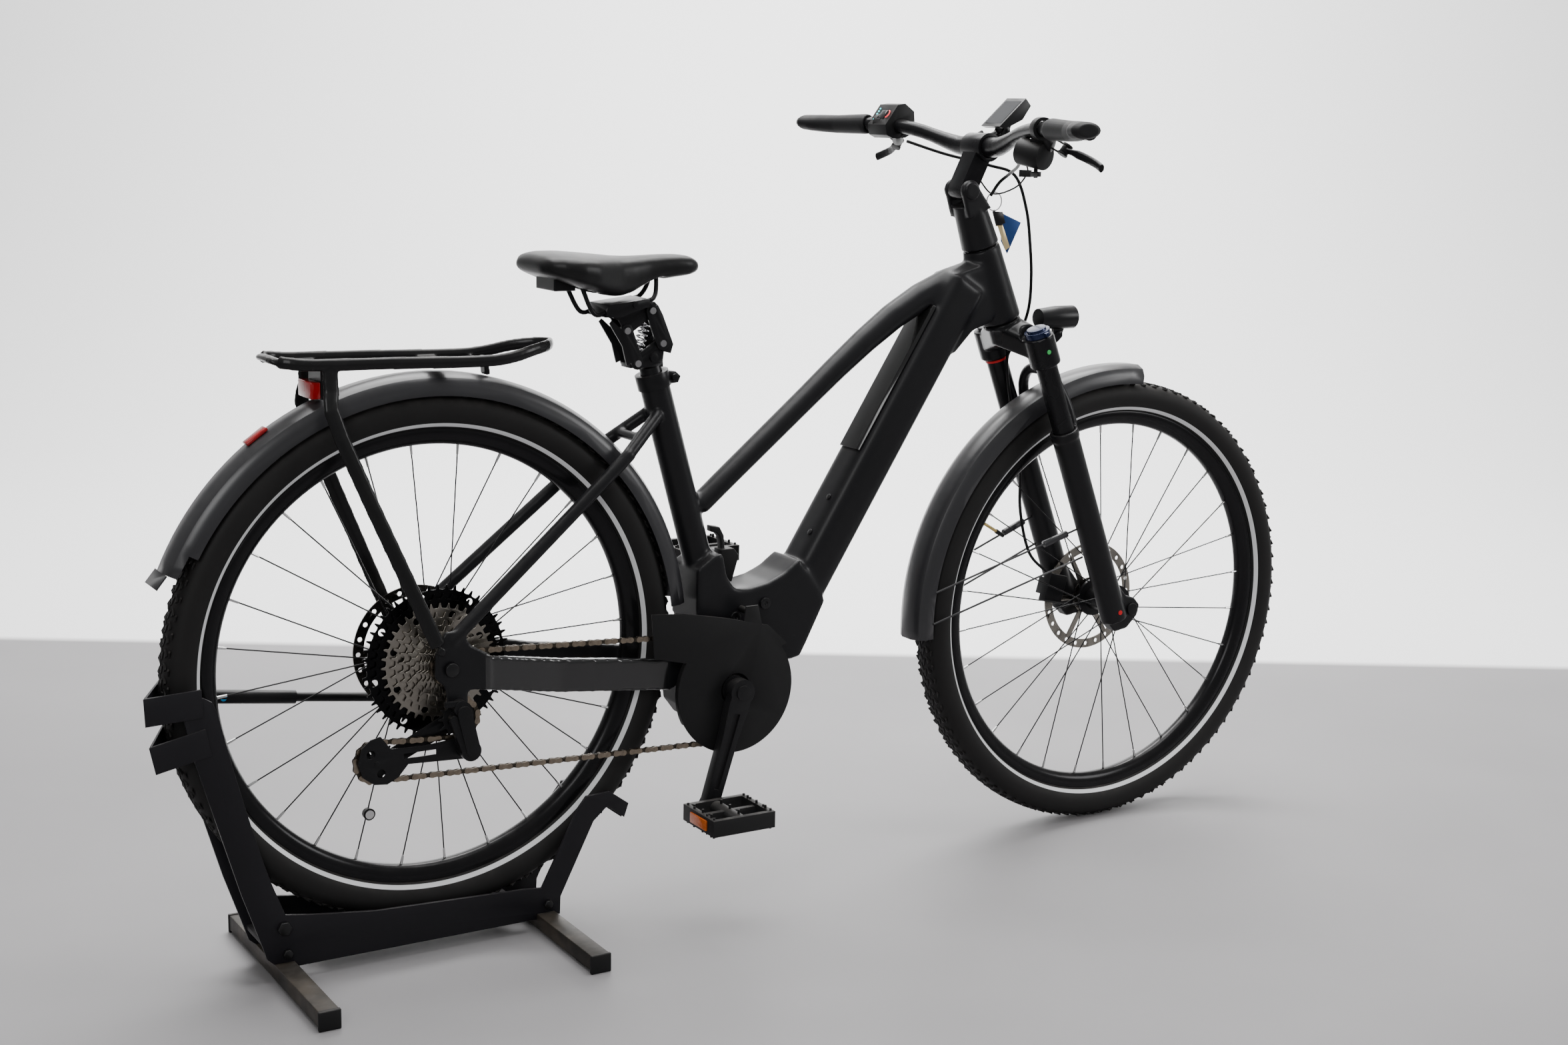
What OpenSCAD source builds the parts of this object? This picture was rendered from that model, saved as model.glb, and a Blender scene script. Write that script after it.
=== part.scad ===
// Step-through electric bicycle parked in a floor display stand.
// Millimetres, +X forward along the bicycle, +Y to its left, +Z up.
// The origin is on the floor, under the middle of the whole object.

/* [Wheels] */
// Outer radius of both tyres
tyre_radius = 366; // [340:1:380]
// Width of each tyre
tyre_width = 56; // [40:1:62]
// Distance between the two axles
wheelbase = 1186; // [1100:1:1250]
// Height of the rear axle, with the wheel held up by the stand
rear_axle_z = 410.5; // [366:0.5:440]
// Number of spokes in each wheel
spoke_count = 28; // [24:4:36]

/* [Frame] */
// Angle of the steering axis above the horizontal
head_angle = 69; // [66:0.5:73]
// Distance from the steering axis to the front axle
fork_offset = 48; // [40:1:55]
// Diameter of the seat tube
seat_tube_d = 43; // [36:1:48]
// Depth of the down tube that holds the battery
down_tube_depth = 69; // [55:1:80]
// Width of the down tube
down_tube_width = 72; // [55:1:80]

/* [Drive] */
// Teeth on the chainring
chainring_teeth = 40; // [34:1:46]
// Teeth on the sprocket that carries the chain
small_sprocket_teeth = 10; // [10:1:13]
// Teeth on each derailleur pulley
pulley_teeth = 13; // [11:1:14]
// Length of each crank arm, centre to centre
crank_length = 170; // [160:2.5:180]
// Angle of the right crank behind straight down
crank_angle = 17; // [0:1:90]

/* [Cockpit] */
// Half the width of the handlebar
bar_half = 365; // [300:5:390]
// Backward sweep of the bar ends
bar_sweep = 13.5; // [0:0.5:30]

/* [Stand] */
// Half the length of the two floor bars
bar_reach = 192; // [150:2:240]
// How far the floor bars sit to the right of the wheel
bar_shift = 29; // [0:1:60]
// Distance from the middle to the outside of the side plates
plate_reach = 43; // [40:1:60]

/* [Output] */
// Which sub-part to draw

/* [Hidden] */

// The rear axle along X, so that the origin is under the middle of the object
rear_axle_x = -575;
hub_r = [0, 0, rear_axle_z];
hub_f = [wheelbase, 0, tyre_radius];
bb = [446, 0, 324];
pitch = 12.7;

// Steering frame: its origin is where the axis passes the front axle's height
lean = 90 - head_angle;
steer_x = wheelbase - fork_offset / cos(lean);
hub_u = fork_offset;
hub_w = -fork_offset * tan(lean);
leg_u = 16;
leg_y = 65;

// Seat tube line
seat_lean = 15.7;
function seat_x(z) = 364.5 - (z - 700) * tan(seat_lean);

$fn = 40;

// ---------- placing helpers ----------
module place() translate([rear_axle_x, 0, 0]) children();

// A front part drawn with +Z along the steering axis
module steer() place() translate([steer_x, 0, tyre_radius]) rotate([0, -lean, 0]) children();

module both() {
  children();
  mirror([0, 1, 0]) children();
}

// A straight round bar from a to b
module rod(a, b, r, r2 = undef) {
  d = b - a;
  len = norm(d);
  translate(a)
    rotate([0, acos(d[2] / len), atan2(d[1], d[0])])
      cylinder(h = len, r1 = r, r2 = r2 == undef ? r : r2);
}

// A flat outline in X and Z, thick from y0 to y1
module slab(y0, y1, pts) translate([0, y1, 0]) rotate([90, 0, 0]) linear_extrude(y1 - y0) polygon(pts);

// A disc or ring about a line along Y
module wheel_disc(c, y0, y1, r, bore = 0)
  translate([c[0], y0, c[2]]) rotate([-90, 0, 0]) difference() {
    cylinder(h = y1 - y0, r = r);
    if (bore > 0) translate([0, 0, -1]) cylinder(h = y1 - y0 + 2, r = bore);
  }

function unit(v) = v / norm(v);
function tangent(p, i) = unit(p[min(i + 1, len(p) - 1)] - p[max(i - 1, 0)]);
function side(t) = unit(cross(abs(t[1]) > 0.9 ? [0, 0, 1] : [0, 1, 0], t));

// Closed skin through rings of equal count, with flat ends
module skin(rings) {
  n = len(rings[0]);
  m = len(rings);
  pts = [for (r = rings) each r];
  faces = concat(
    [[for (j = [0:n - 1]) j]],
    [[for (j = [n - 1:-1:0]) (m - 1) * n + j]],
    [for (i = [0:m - 2]) for (j = [0:n - 1]) [i * n + j, (i + 1) * n + j, i * n + (j + 1) % n]],
    [for (i = [0:m - 2]) for (j = [0:n - 1])
      [i * n + (j + 1) % n, (i + 1) * n + j, (i + 1) * n + (j + 1) % n]]);
  polyhedron(pts, faces, convexity = 6);
}

// Ring of n points round c, square to t, rz across in the X-Z plane and ry along Y
function ring_at(c, t, rz, ry, n) = let(a = side(t), b = cross(t, a))
  [for (j = [0:n - 1]) c + a * (rz * cos(360 * j / n)) + b * (ry * sin(360 * j / n))];

// Bent tube: p holds the centres, r the radii across and along Y
module bent(p, r, n = 16) skin([for (i = [0:len(p) - 1])
  ring_at(p[i], tangent(p, i), is_list(r[0]) ? r[i][0] : r[0], is_list(r[0]) ? r[i][1] : r[1], n)]);

// Smooth curve through way points, k steps to each span
function blend3(a, b, c, d, t) = 0.5 * ((2 * b) + (c - a) * t + (2 * a - 5 * b + 4 * c - d) * t * t
  + (3 * b - a - 3 * c + d) * t * t * t);
function smooth(w, k) = [for (i = [0:len(w) - 2]) for (s = [0:k - (i == len(w) - 2 ? 0 : 1)])
  blend3(w[max(i - 1, 0)], w[i], w[i + 1], w[min(i + 2, len(w) - 1)], s / k)];

// Toothed outline: z teeth, pitch radius from the chain pitch
function pitch_r(z) = pitch / 2 / sin(180 / z);
function tooth_outline(z) = let(r = pitch_r(z))
  [for (i = [0:z - 1]) for (q = [[0, -4], [0.3, -3.4], [0.43, 3], [0.57, 3], [0.7, -3.4]])
    let(a = 360 * (i + q[0]) / z) (r + q[1]) * [cos(a), sin(a)]];

module toothed(z, t, bore) translate([0, 0, -t / 2]) linear_extrude(t) difference() {
  polygon(tooth_outline(z));
  if (bore > 0) circle(r = bore);
}

// ---------- stand ----------
// Left edges of the two floor bars
bar_x = [-240, 141];

// Strap from the right plate round behind the tyre to the left plate
module strap(a) translate(hub_r) rotate([0, -a, 0]) translate([0, 0, -18.5])
  linear_extrude(37) polygon([[-325, -plate_reach - 3], [-399, -plate_reach - 3], [-355, plate_reach - 4],
    [-330, plate_reach - 4], [-330, plate_reach - 7], [-353.4, plate_reach - 7], [-394, -plate_reach + 0.5],
    [-325, -plate_reach + 0.5]]);

module stand_frame() color("#26262a") place() {
  // Side plate: leaning rear upright, low sill and rising front arm
  both() slab(plate_reach - 5, plate_reach, [[-211.7, 26.1], [-240.3, 26.1], [-249, 34], [-256, 56], [-281, 130],
    [-304, 210], [-321, 270], [-338, 326], [-347, 372], [-349, 392], [-340, 402], [-322, 403], [-311, 396],
    [-305, 381], [-292, 324], [-271, 242], [-250, 167], [-240, 137], [-223, 92], [-193, 87], [-97, 75],
    [120, 66], [149, 63], [206, 172], [219, 188], [256, 190], [286, 168], [279, 148], [252, 169], [230, 150],
    [178, 46], [177, 20], [169.3, 20], [169.3, 26.1], [140.7, 26.1], [140.7, 18], [-211.7, 18]]);
  // Tray under the tyre, and the tie at the foot of the rear plates
  translate([-160, -plate_reach + 4, 38]) cube([280, 2 * plate_reach - 8, 5.5]);
  translate([-252, -plate_reach + 4, 50]) cube([20, 2 * plate_reach - 8, 6]);
  // Tie across the front arms, ahead of the tyre
  translate([279, 0, 155]) rotate([0, 42, 0]) cube([5, 2 * plate_reach - 8, 15], center = true);
  for (a = [2.4, 11.7]) strap(a);
}

module stand_crossbars() color("#35332f") place() for (x = bar_x) difference() {
  translate([x, -bar_reach - bar_shift + 6, 4]) cube([28, 2 * bar_reach - 12, 21.9]);
  translate([x + 2.5, -bar_reach - bar_shift, 6.5]) cube([23, 2 * bar_reach, 16.9]);
}

module stand_feet() color("#151517") place() for (x = bar_x) translate([x, -bar_shift, 0]) both() {
  translate([-1, bar_reach - 5.9, 0]) cube([30, 5.9, 26.8]);
  translate([2.7, bar_reach - 26, 6.7]) cube([22.6, 21, 16.5]);
  translate([3, bar_reach - 60, 0]) cube([22, 30, 3.9]);
}

module bolt_y(x, y, z, r, h) translate([x, y, z]) rotate([-90, 0, 0]) cylinder(h = h, r = r, $fn = 6);

module stand_bolts() color("#8c8c90") place() both() {
  bolt_y(-226, plate_reach + 0.1, 75, 10, 6);
  bolt_y(-222, plate_reach + 0.1, 38, 7, 5);
  bolt_y(158, plate_reach + 0.1, 38, 7, 5);
}

// ---------- frame ----------
down_dir = [0.53, 0, 0.848];

module rounded_bar(a, d, len, depth, width, r) translate(a)
  rotate([0, atan2(d[0], d[2]), 0]) linear_extrude(len) {
    square([depth - 2 * r, width], center = true);
    square([depth, width - 2 * r], center = true);
    for (i = [-1, 1]) for (j = [-1, 1]) translate([i * (depth / 2 - r), j * (width / 2 - r)]) circle(r = r);
  }

module steer_rod(w0, w1, r, r2 = undef) translate([steer_x, 0, tyre_radius]) rotate([0, -lean, 0])
  translate([0, 0, w0]) cylinder(h = w1 - w0, r1 = r, r2 = r2 == undef ? r : r2);

module stay_end(x, y, z0, z1, w) translate([x, y - w / 2, z0]) cube([1, w, z1 - z0]);

module frame() color("#202024") place() difference() {
  union() {
    // Top tube, rising in an arch to the head tube
    bent([[418, 0, 586], [460, 0, 621], [530, 0, 678], [600, 0, 735], [650, 0, 776], [700, 0, 815],
      [750, 0, 850], [800, 0, 878], [850, 0, 898], [905, 0, 912]],
      [[16, 19], [16, 20], [16.5, 20], [17, 20], [18, 20.5], [19.5, 21], [21, 22], [22, 23], [23, 24],
      [24, 24]]);
    // Down tube
    rounded_bar([575, 0, 424], down_dir, 560, down_tube_depth, down_tube_width, 20);
    // Gusset below the head tube
    slab(-26, 26, [[800, 860], [842, 912], [905, 928], [928, 860], [918, 836], [885, 826], [850, 790]]);
    // Seat tube
    rod([seat_x(440), 0, 440], [seat_x(772), 0, 772], seat_tube_d / 2);
    // Head tube
    steer_rod(505, 629, 32.5, 29.5);
    // Shell that carries the motor
    slab(-40, 40, [[399, 500], [398, 424], [420, 392], [556, 347], [576, 351], [618, 432], [572, 500],
      [546, 481], [520, 470], [486, 464], [462, 466], [448, 486], [441, 520], [428, 520]]);
    // Seat stays and chain stays
    both() {
      rod([2, 73, 446], [284, 47, 679], 9.5);
      rod([278, 47.5, 674.2], [344, 15, 726], 9.3);
      hull() {
        stay_end(46, 75, 376, 424, 9);
        stay_end(170, 54, 352, 400, 13);
      }
      hull() {
        stay_end(169, 54, 352, 400, 13);
        stay_end(350, 43, 330, 376, 13);
      }
      hull() {
        stay_end(349, 43, 330, 376, 13);
        stay_end(404, 36, 352, 420, 10);
      }
      // Dropout plate
      slab(71, 79, [[-22, 400], [-20, 440], [-6, 462], [16, 462], [30, 440], [58, 424], [58, 376], [20, 378],
        [-6, 384]]);
    }
    // Hanger for the derailleur
    slab(-79, -73, [[-8, 390], [24, 390], [26, 362], [16, 352], [2, 352], [-6, 366]]);
    // Bridge between the seat stays
    translate([306, 0, 697]) rotate([90, 0, 0]) cylinder(h = 62, r = 7, center = true);
  }
  // Bores: seat post, steerer, rear axle
  rod([seat_x(520), 0, 520], [seat_x(780), 0, 780], 16.2);
  steer_rod(480, 660, 24);
  translate([0, -100, rear_axle_z]) rotate([-90, 0, 0]) cylinder(h = 200, r = 6.1);
  // Recess for the battery cover
  translate(bar_point(250, 0)) rotate([0, atan2(0.53, 0.848), 0])
    translate([-down_tube_depth / 2 - 5, -27, 0]) cube([7, 54, 250]);
}

function bar_point(s, y) = [575 + 0.53 * s, y, 424 + 0.848 * s];

module battery_cover() color("#3a3a40") place() translate(bar_point(250.3, 0))
  rotate([0, atan2(0.53, 0.848), 0]) difference() {
    translate([-down_tube_depth / 2 - 3, -26.7, 0]) cube([4.7, 53.4, 249.4]);
    for (j = [-1, 1]) translate([-down_tube_depth / 2 - 3, j * 26.7, -1]) rotate([0, 0, 45])
      cube([5, 5, 600], center = true);
  }

module frame_bolts() color("#4a4a4e") place() {
  // Cover screws on the upper face of the down tube
  for (s = [108, 168]) translate(bar_point(s, -14)) rotate([0, atan2(0.53, 0.848) - 90, 0])
    translate([0, 0, down_tube_depth / 2 + 0.1]) cylinder(h = 1.6, r = 4.5);
  // Motor bolts on both sides of the shell
  both() for (p = [[460, 424], [510, 440]]) translate([p[0], 40.1, p[1]]) rotate([-90, 0, 0]) difference() {
    cylinder(h = 4, r = 8.5);
    translate([0, 0, 2]) cylinder(h = 4, r = 3.5, $fn = 6);
  }
}

module motor() color("#1b1b1e") place() difference() {
  union() {
    slab(-47, 47, [[384, 330], [388, 292], [406, 268], [446, 254], [505, 258], [535, 288], [553, 343],
      [540, 348.5], [419, 388.5], [396, 368]]);
    wheel_disc(bb, -52, -46, 40);
    wheel_disc(bb, 46, 56, 52);
  }
  wheel_disc(bb, -80, 80, 15.05);
  both() hull() {
    stay_end(345, 43, 329.6, 377, 13.8);
    stay_end(348, 43, 329.6, 377, 13.8);
  }
  both() hull() {
    stay_end(348, 43, 329.6, 377, 13.8);
    stay_end(404.6, 36, 351.6, 420.4, 10.8);
  }
}

module chain_guard() color("#1d1d20") place() difference() {
  union() {
    wheel_disc(bb, -70, -67, 95);
    difference() {
      wheel_disc(bb, -70, -60.5, 95);
      wheel_disc(bb, -67.1, -60, 92.5);
      slab(-66.9, -50, [[300, 230], [446, 230], [446, 280], [300, 280]]);
      slab(-66.9, -50, [[300, 380], [446, 380], [446, 430], [300, 430]]);
    }
    slab(-70, -67, [[308, 450], [312, 385], [366, 372], [500, 372], [532, 384], [500, 414], [430, 432], [360, 446]]);
    // Stays back to the shell
    translate([470, -67.1, 436]) rotate([-90, 0, 0]) cylinder(h = 26.8, r = 5);
    slab(-70, -67, [[462, 446], [456, 410], [490, 410], [482, 446]]);
  }
  wheel_disc(bb, -80, -50, 24);
}

module seat_clamp() color("#161618") place() difference() {
  union() {
    rod([seat_x(764), 0, 764], [seat_x(785), 0, 785], 24.5);
    slab(-11, 11, [[352, 768], [378, 770], [382, 779], [374, 786], [352, 788]]);
    translate([371, 0, 778]) rotate([90, 0, 0]) cylinder(h = 34, r = 5, center = true);
  }
  rod([seat_x(760), 0, 760], [seat_x(800), 0, 800], 16.2);
  rod([seat_x(740), 0, 740], [seat_x(772.4), 0, 772.4], 21.7);
}

module rear_axle() color("#2a2a2d") place() {
  translate([0, -84, rear_axle_z]) rotate([-90, 0, 0]) cylinder(h = 168, r = 6);
  translate([0, -86, rear_axle_z]) rotate([-90, 0, 0]) cylinder(h = 5.5, r = 9.5);
  translate([0, 79.5, rear_axle_z]) rotate([-90, 0, 0]) cylinder(h = 5.5, r = 9.5);
}

// ---------- luggage rack, mudguard and lights ----------
rack_half = 46;
rack_loop = smooth([[-214, -0.8, 829], [-212, 28, 828], [-198, 42, 826], [-165, rack_half, 823],
  [-60, rack_half, 821], [60, rack_half, 818], [106, 44, 821], [140, 36, 828], [170, 20, 832],
  [184, -0.8, 833]], 3);

module rack() color("#1c1c1e") place() {
  both() bent(rack_loop, [8.5, 5], 8);
  both() {
    // Leg, bent in to clear the mudguard and down to the dropout
    bent(smooth([[-146, 46, 822], [-147, 50, 788], [-139, 64, 728], [-20, 85, 446]], 3), [11, 4.5], 8);
    translate([-16, 79.1, 438]) rotate([-90, 0, 0]) cylinder(h = 10, r = 6);
  }
  // Cross plates and the light carrier
  for (x = [-166, 4]) translate([x, -rack_half, x < 0 ? 818 : 815.5]) cube([28, 2 * rack_half, 3]);
  slab(-26, 26, [[-152, 820], [-152, 774.8], [-147, 774.8], [-147, 820]]);
  translate([84, -9, 794]) rotate([0, -6, 0]) cube([7, 18, 26]);
  translate([80, -rack_half, 813]) cube([5, 2 * rack_half, 4]);
}

module rear_lights() color("#a81a1c") place() {
  translate([-166, -25, 776]) cube([13.8, 50, 22]);
  mud_place(rear_axle_z, 0) rotate([0, -126, 0]) translate([392.4, -9, -17]) cube([5, 18, 34]);
}

module mud_place(z, x) translate([x, 0, z]) children();

// One mudguard blade between two angles, r is the outer radius
module blade(r, a0, a1) rotate([90, 0, 0]) rotate([0, 0, a0]) rotate_extrude(angle = a1 - a0, $fn = 120)
  polygon([[r, -12], [r, 12], [r - 6, 25], [r - 17, 31], [r - 30, 31], [r - 30, 29.4], [r - 18, 29.2], [r - 8, 23.5],
    [r - 2, 11], [r - 2, -11], [r - 8, -23.5], [r - 18, -29.2], [r - 30, -29.4], [r - 30, -31], [r - 17, -31],
    [r - 6, -25]]);

module rear_mudguard() color("#2b2b2f") place() {
  difference() {
    mud_place(rear_axle_z, 0) blade(392, 6, 157);
    mud_place(rear_axle_z, 0) rotate([0, -152, 0]) translate([330, -60, 0]) cube([45, 120, 40]);
  }
  // Turned-out lip at the rear end
  mud_place(rear_axle_z, 0) rotate([0, -157, 0]) translate([388.5, -26, 0.2]) rotate([0, 16, 0]) cube([2.2, 52, 22]);
}

// ---------- pieces on the frame ----------
module lock_bracket() color("#1a1a1c") place() {
  slab(-7, 7, [[437, 556], [452, 553], [459, 540], [461, 518], [456, 518], [452.5, 538], [446, 545], [437, 547]]);
  slab(-11, 11, [[452, 520], [474, 520], [483, 509], [471, 470], [463, 472], [454, 493]]);
}

module kickstand_mount() color("#161618") place() {
  difference() {
    slab(58.5, 78, [[-6, 350], [-4, 322], [20, 320], [28, 336], [30, 374.5], [8, 376]]);
    translate([8, 50, 336]) rotate([-90, 0, 0]) cylinder(h = 40, r = 5.05);
    slab(55, 73.5, [[-40, 380], [-40, 300], [22, 300], [22, 352], [-4, 356]]);
  }
}

module kickstand_leg() color("#1b1b1e") place() {
  rod([8, 64, 336], [-180, 64, 360.4], 6.5);
  rod([-168, 64, 358.8], [-302, 64, 376.2], 9.5);
  rod([-301, 64, 376], [-316, 64, 378], 9.4, 7);
  translate([8, 56, 336]) rotate([-90, 0, 0]) cylinder(h = 17.2, r = 11);
  translate([8, 57, 336]) rotate([-90, 0, 0]) cylinder(h = 20.5, r = 5);
}

// ---------- drive ----------
// Wheels the chain runs over: centre, signed pitch radius, line along Y
run = [
  [[0, rear_axle_z], pitch_r(small_sprocket_teeth), -66],
  [[bb[0], bb[2]], pitch_r(chainring_teeth), -55],
  [[-104, 293], pitch_r(pulley_teeth), -66],
  [[16, 338], -pitch_r(pulley_teeth), -66]];

// Angle of the normal to the straight run from wheel i to the next
function lie(i) = let(a = run[i], b = run[(i + 1) % 4], d = b[0] - a[0])
  atan2(d[1], d[0]) + acos((a[1] - b[1]) / norm(d));
function off(i, a) = let(w = run[i % 4]) [w[0][0] + w[1] * cos(a), w[2], w[0][1] + w[1] * sin(a)];
function turn(i) = let(a0 = lie((i + 3) % 4), a1 = lie(i), s = sign(run[i][1]), d = (a1 - a0) * s)
  a0 + s * (d > 0 ? d - 360 : d);
wrap_steps = [12, 16, 12, 10];
// Straight leads that keep the chain in each wheel's plane until its teeth are clear
lead_in = [0, 38, 22, 0];
lead_out = [20, 38, 0, 0];
function lead(i, a, d) = off(i, a) + [-sin(a), 0, cos(a)] * d;
// Chain path as [point, outward normal angle]
chain_path = [for (q = [1, 2, 3, 4])
  let(i = q % 4, a0 = lie((i + 3) % 4), a1 = turn(i), n = wrap_steps[i], s = sign(a1 - a0))
  for (k = [lead_in[i] > 0 ? -1 : 0:lead_out[i] > 0 ? n + 1 : n])
    k < 0 ? [lead(i, a0, -s * lead_in[i]), a0] : k > n ? [lead(i, a1, s * lead_out[i]), a1]
    : let(a = a0 + (a1 - a0) * k / n) [off(i, a), a]];

module chain_side(s) skin([for (i = [0:len(chain_path)])
  let(c = chain_path[i % len(chain_path)], a = c[1], p = i < len(chain_path) ? c[0]
    : chain_path[0][0] * 0.004 + chain_path[len(chain_path) - 1][0] * 0.996,
    e = i < len(chain_path) ? a : chain_path[0][1], n = [cos(e), 0, sin(e)])
  [p + n * 4.2 + [0, s + 0.9, 0], p + n * 4.2 + [0, s, 0],
   p - n * 4.2 + [0, s, 0], p - n * 4.2 + [0, s + 0.9, 0]]]);

module run_pins(i, clear_a, clear_b) {
  d = unit(off(i + 1, lie(i)) - off(i, lie(i)));
  a = off(i, lie(i)) + [d[0], 0, d[2]] * lead_out[i];
  b = off(i + 1, lie(i)) - [d[0], 0, d[2]] * lead_in[(i + 1) % 4];
  len = norm(b - a);
  n = floor((len - clear_a - clear_b) / pitch / 2);
  for (k = [0:n]) translate(a + (b - a) * (clear_a + 2 * k * pitch) / len) rotate([90, 0, 0])
    cylinder(h = 4.8, r = 2.2, center = true, $fn = 8);
}

module chain() color("#7d746a") place() {
  chain_side(1.1);
  chain_side(-2);
  run_pins(0, 6, 6);
  run_pins(1, 6, 6);
  run_pins(2, 26, 26);
}

// Flat link with round ends, from a to b in X and Z
function capsule(a, b, r) = let(h = atan2(b[1] - a[1], b[0] - a[0])) concat(
  [for (t = [90:22.5:270]) a + r * [cos(h + t), sin(h + t)]],
  [for (t = [-90:22.5:90]) b + r * [cos(h + t), sin(h + t)]]);
module link_bar(a, b, r, y0, y1) slab(y0, y1, capsule(a, b, r));

guide = [16, 0, 338];
idler = [-104, 0, 293];

module derailleur_body() color("#19191b") place() {
  wheel_disc([10, 0, 358], -94, -79.3, 11);
  link_bar([12, 352], [24, 300], 10, -98, -83);
  link_bar([-2, 344], [14, 300], 6, -95.5, -85);
  wheel_disc([22, 0, 298], -96, -74.3, 14);
  // Cable stop behind the knuckle
  translate([-14, -93, 362]) cube([22, 6, 7]);
}

module derailleur_cage() color("#17171a") place() {
  // Outer plate with its two slim arms, and the inner plate
  difference() {
    union() {
      slab(-74, -72, [[-112, 326], [-98, 329], [-84, 310], [-40, 308], [10, 312], [36, 306], [38, 290], [20, 282],
        [-60, 286], [-74, 270], [-90, 262], [-108, 264], [-124, 276], [-130, 296], [-124, 316]]);
      link_bar([22, 298], [16, 338], 9, -73.8, -72.2);
    }
    slab(-75, -71, [[-66, 301], [-20, 301], [-20, 294], [-66, 294]]);
    wheel_disc([-112, 0, 306], -75, -71, 6);
    wheel_disc([-98, 0, 278], -75, -71, 6);
  }
  difference() {
    union() {
      slab(-60, -58, [[-112, 318], [-96, 318], [-80, 306], [12, 350], [26, 346], [24, 326], [-60, 288], [-84, 272],
        [-112, 270], [-126, 284], [-126, 304]]);
    }
    wheel_disc([-104, 0, 306], -61, -57, 5);
  }
  for (p = [guide, idler]) wheel_disc(p, -75.5, -57, 3);
}

module pulley(c) place() translate([c[0], -66, c[2]]) rotate([-90, 0, 0]) difference() {
  union() {
    toothed(pulley_teeth, 1.8, 0);
    cylinder(h = 9, r = 8, center = true);
  }
  cylinder(h = 20, r = 3.05, center = true);
  for (a = [0:72:288]) rotate([0, 0, a + 20]) translate([14, 0, -5]) cylinder(h = 10, r = 3.2);
}

module guide_pulley() color("#1e1e20") pulley(guide);
module tension_pulley() color("#1e1e20") pulley(idler);

sprockets = [small_sprocket_teeth, 12, 14, 16, 18, 21, 24, 28, 33, 39, 45, 51];

module cassette() color("#a39a8c") place() translate([0, 0, rear_axle_z]) rotate([-90, 0, 0]) difference() {
  union() {
    for (i = [0:11]) translate([0, 0, -66 + 3.4 * i]) difference() {
      toothed(sprockets[i], 1.6, 0);
      if (i > 7) for (a = [0:45:315]) rotate([0, 0, a + 7 * i])
        translate([pitch_r(sprockets[i]) - 12, 0, -3]) cylinder(h = 6, r = 5);
      if (i > 9) for (a = [0:45:315]) rotate([0, 0, a + 7 * i + 20])
        translate([pitch_r(sprockets[i]) - 32, 0, -3]) cylinder(h = 6, r = 8);
    }
    translate([0, 0, -67.5]) cylinder(h = 40.5, r = 15.2);
  }
  translate([0, 0, -80]) cylinder(h = 70, r = 6.05);
}

pedal_r = [bb[0] - crank_length * sin(crank_angle), 0, bb[2] - crank_length * cos(crank_angle)];
pedal_l = [bb[0] + crank_length * sin(crank_angle), 0, bb[2] + crank_length * cos(crank_angle)];

// Crank arm: wide at the spindle, slimmer toward the pedal, stepped outward
module arm(s, p) {
  d = [p[0] - bb[0], p[2] - bb[2]] / crank_length;
  n = [-d[1], d[0]];
  function at(k, w) = [bb[0] + d[0] * k + n[0] * w, bb[2] + d[1] * k + n[1] * w];
  y0 = s > 0 ? 76 : -92;
  difference() {
    union() {
      slab(y0, y0 + 16, [at(-6, -16), at(-6, 16), at(20, 17), at(70, 13), at(crank_length, 12),
        at(crank_length, -12), at(70, -13), at(20, -17)]);
      wheel_disc(bb, y0, y0 + 16, 19.5);
      wheel_disc(p, y0, y0 + 16, 13.5);
    }
    // Long hollow down the outer face
    slab(s > 0 ? y0 + 12 : y0 - 1, s > 0 ? y0 + 17 : y0 + 4, [at(32, -5), at(32, 5), at(146, 4), at(146, -4)]);
    wheel_disc(p, y0 - 1, y0 + 17, 7);
  }
  wheel_disc(bb, s > 0 ? 92 : -95, s > 0 ? 95 : -92, 11);
}

module crankset() color("#242427") place() {
  arm(-1, pedal_r);
  arm(1, pedal_l);
  wheel_disc(bb, -91.5, 91.5, 15);
  translate([bb[0], -55, bb[2]]) rotate([-90, 0, 0]) difference() {
    toothed(chainring_teeth, 1.8, 14.9);
    for (a = [0:72:288]) rotate([0, 0, a]) translate([48, 0, -5]) cylinder(h = 10, r = 15);
  }
  translate([bb[0], -66, bb[2]]) rotate([-90, 0, 0]) cylinder(h = 10, r = 20);
}

// Cage pedal with studs, its axle reaching into the crank arm
module pedal(s, p) place() difference() {
  union() {
    for (dx = [-1, 1]) translate([p[0] + dx * 46 - 4, s > 0 ? 97 : -187, p[2] - 12]) cube([8, 90, 24]);
    for (y = [97, 179]) translate([p[0] - 46, s > 0 ? y : -y - 8, p[2] - 12]) cube([92, 8, 24]);
    translate([p[0] - 44, s > 0 ? 136 : -144, p[2] - 8]) cube([88, 8, 16]);
    wheel_disc(p, s > 0 ? 97.5 : -186.5, s > 0 ? 186.5 : -97.5, 11);
    for (i = [-1, 1]) for (k = [-1, 1]) for (y = [104, 123, 160, 180])
      translate([p[0] + i * 46, s * y, p[2] + (k > 0 ? 11 : -15)]) cylinder(h = 4, r = 2, $fn = 6);
  }
  wheel_disc(p, s > 0 ? 90 : -180, s > 0 ? 180 : -90, 6.55);
}

module pedal_right() color("#1f1f22") pedal(-1, pedal_r);
module pedal_left() color("#1f1f22") pedal(1, pedal_l);

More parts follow.
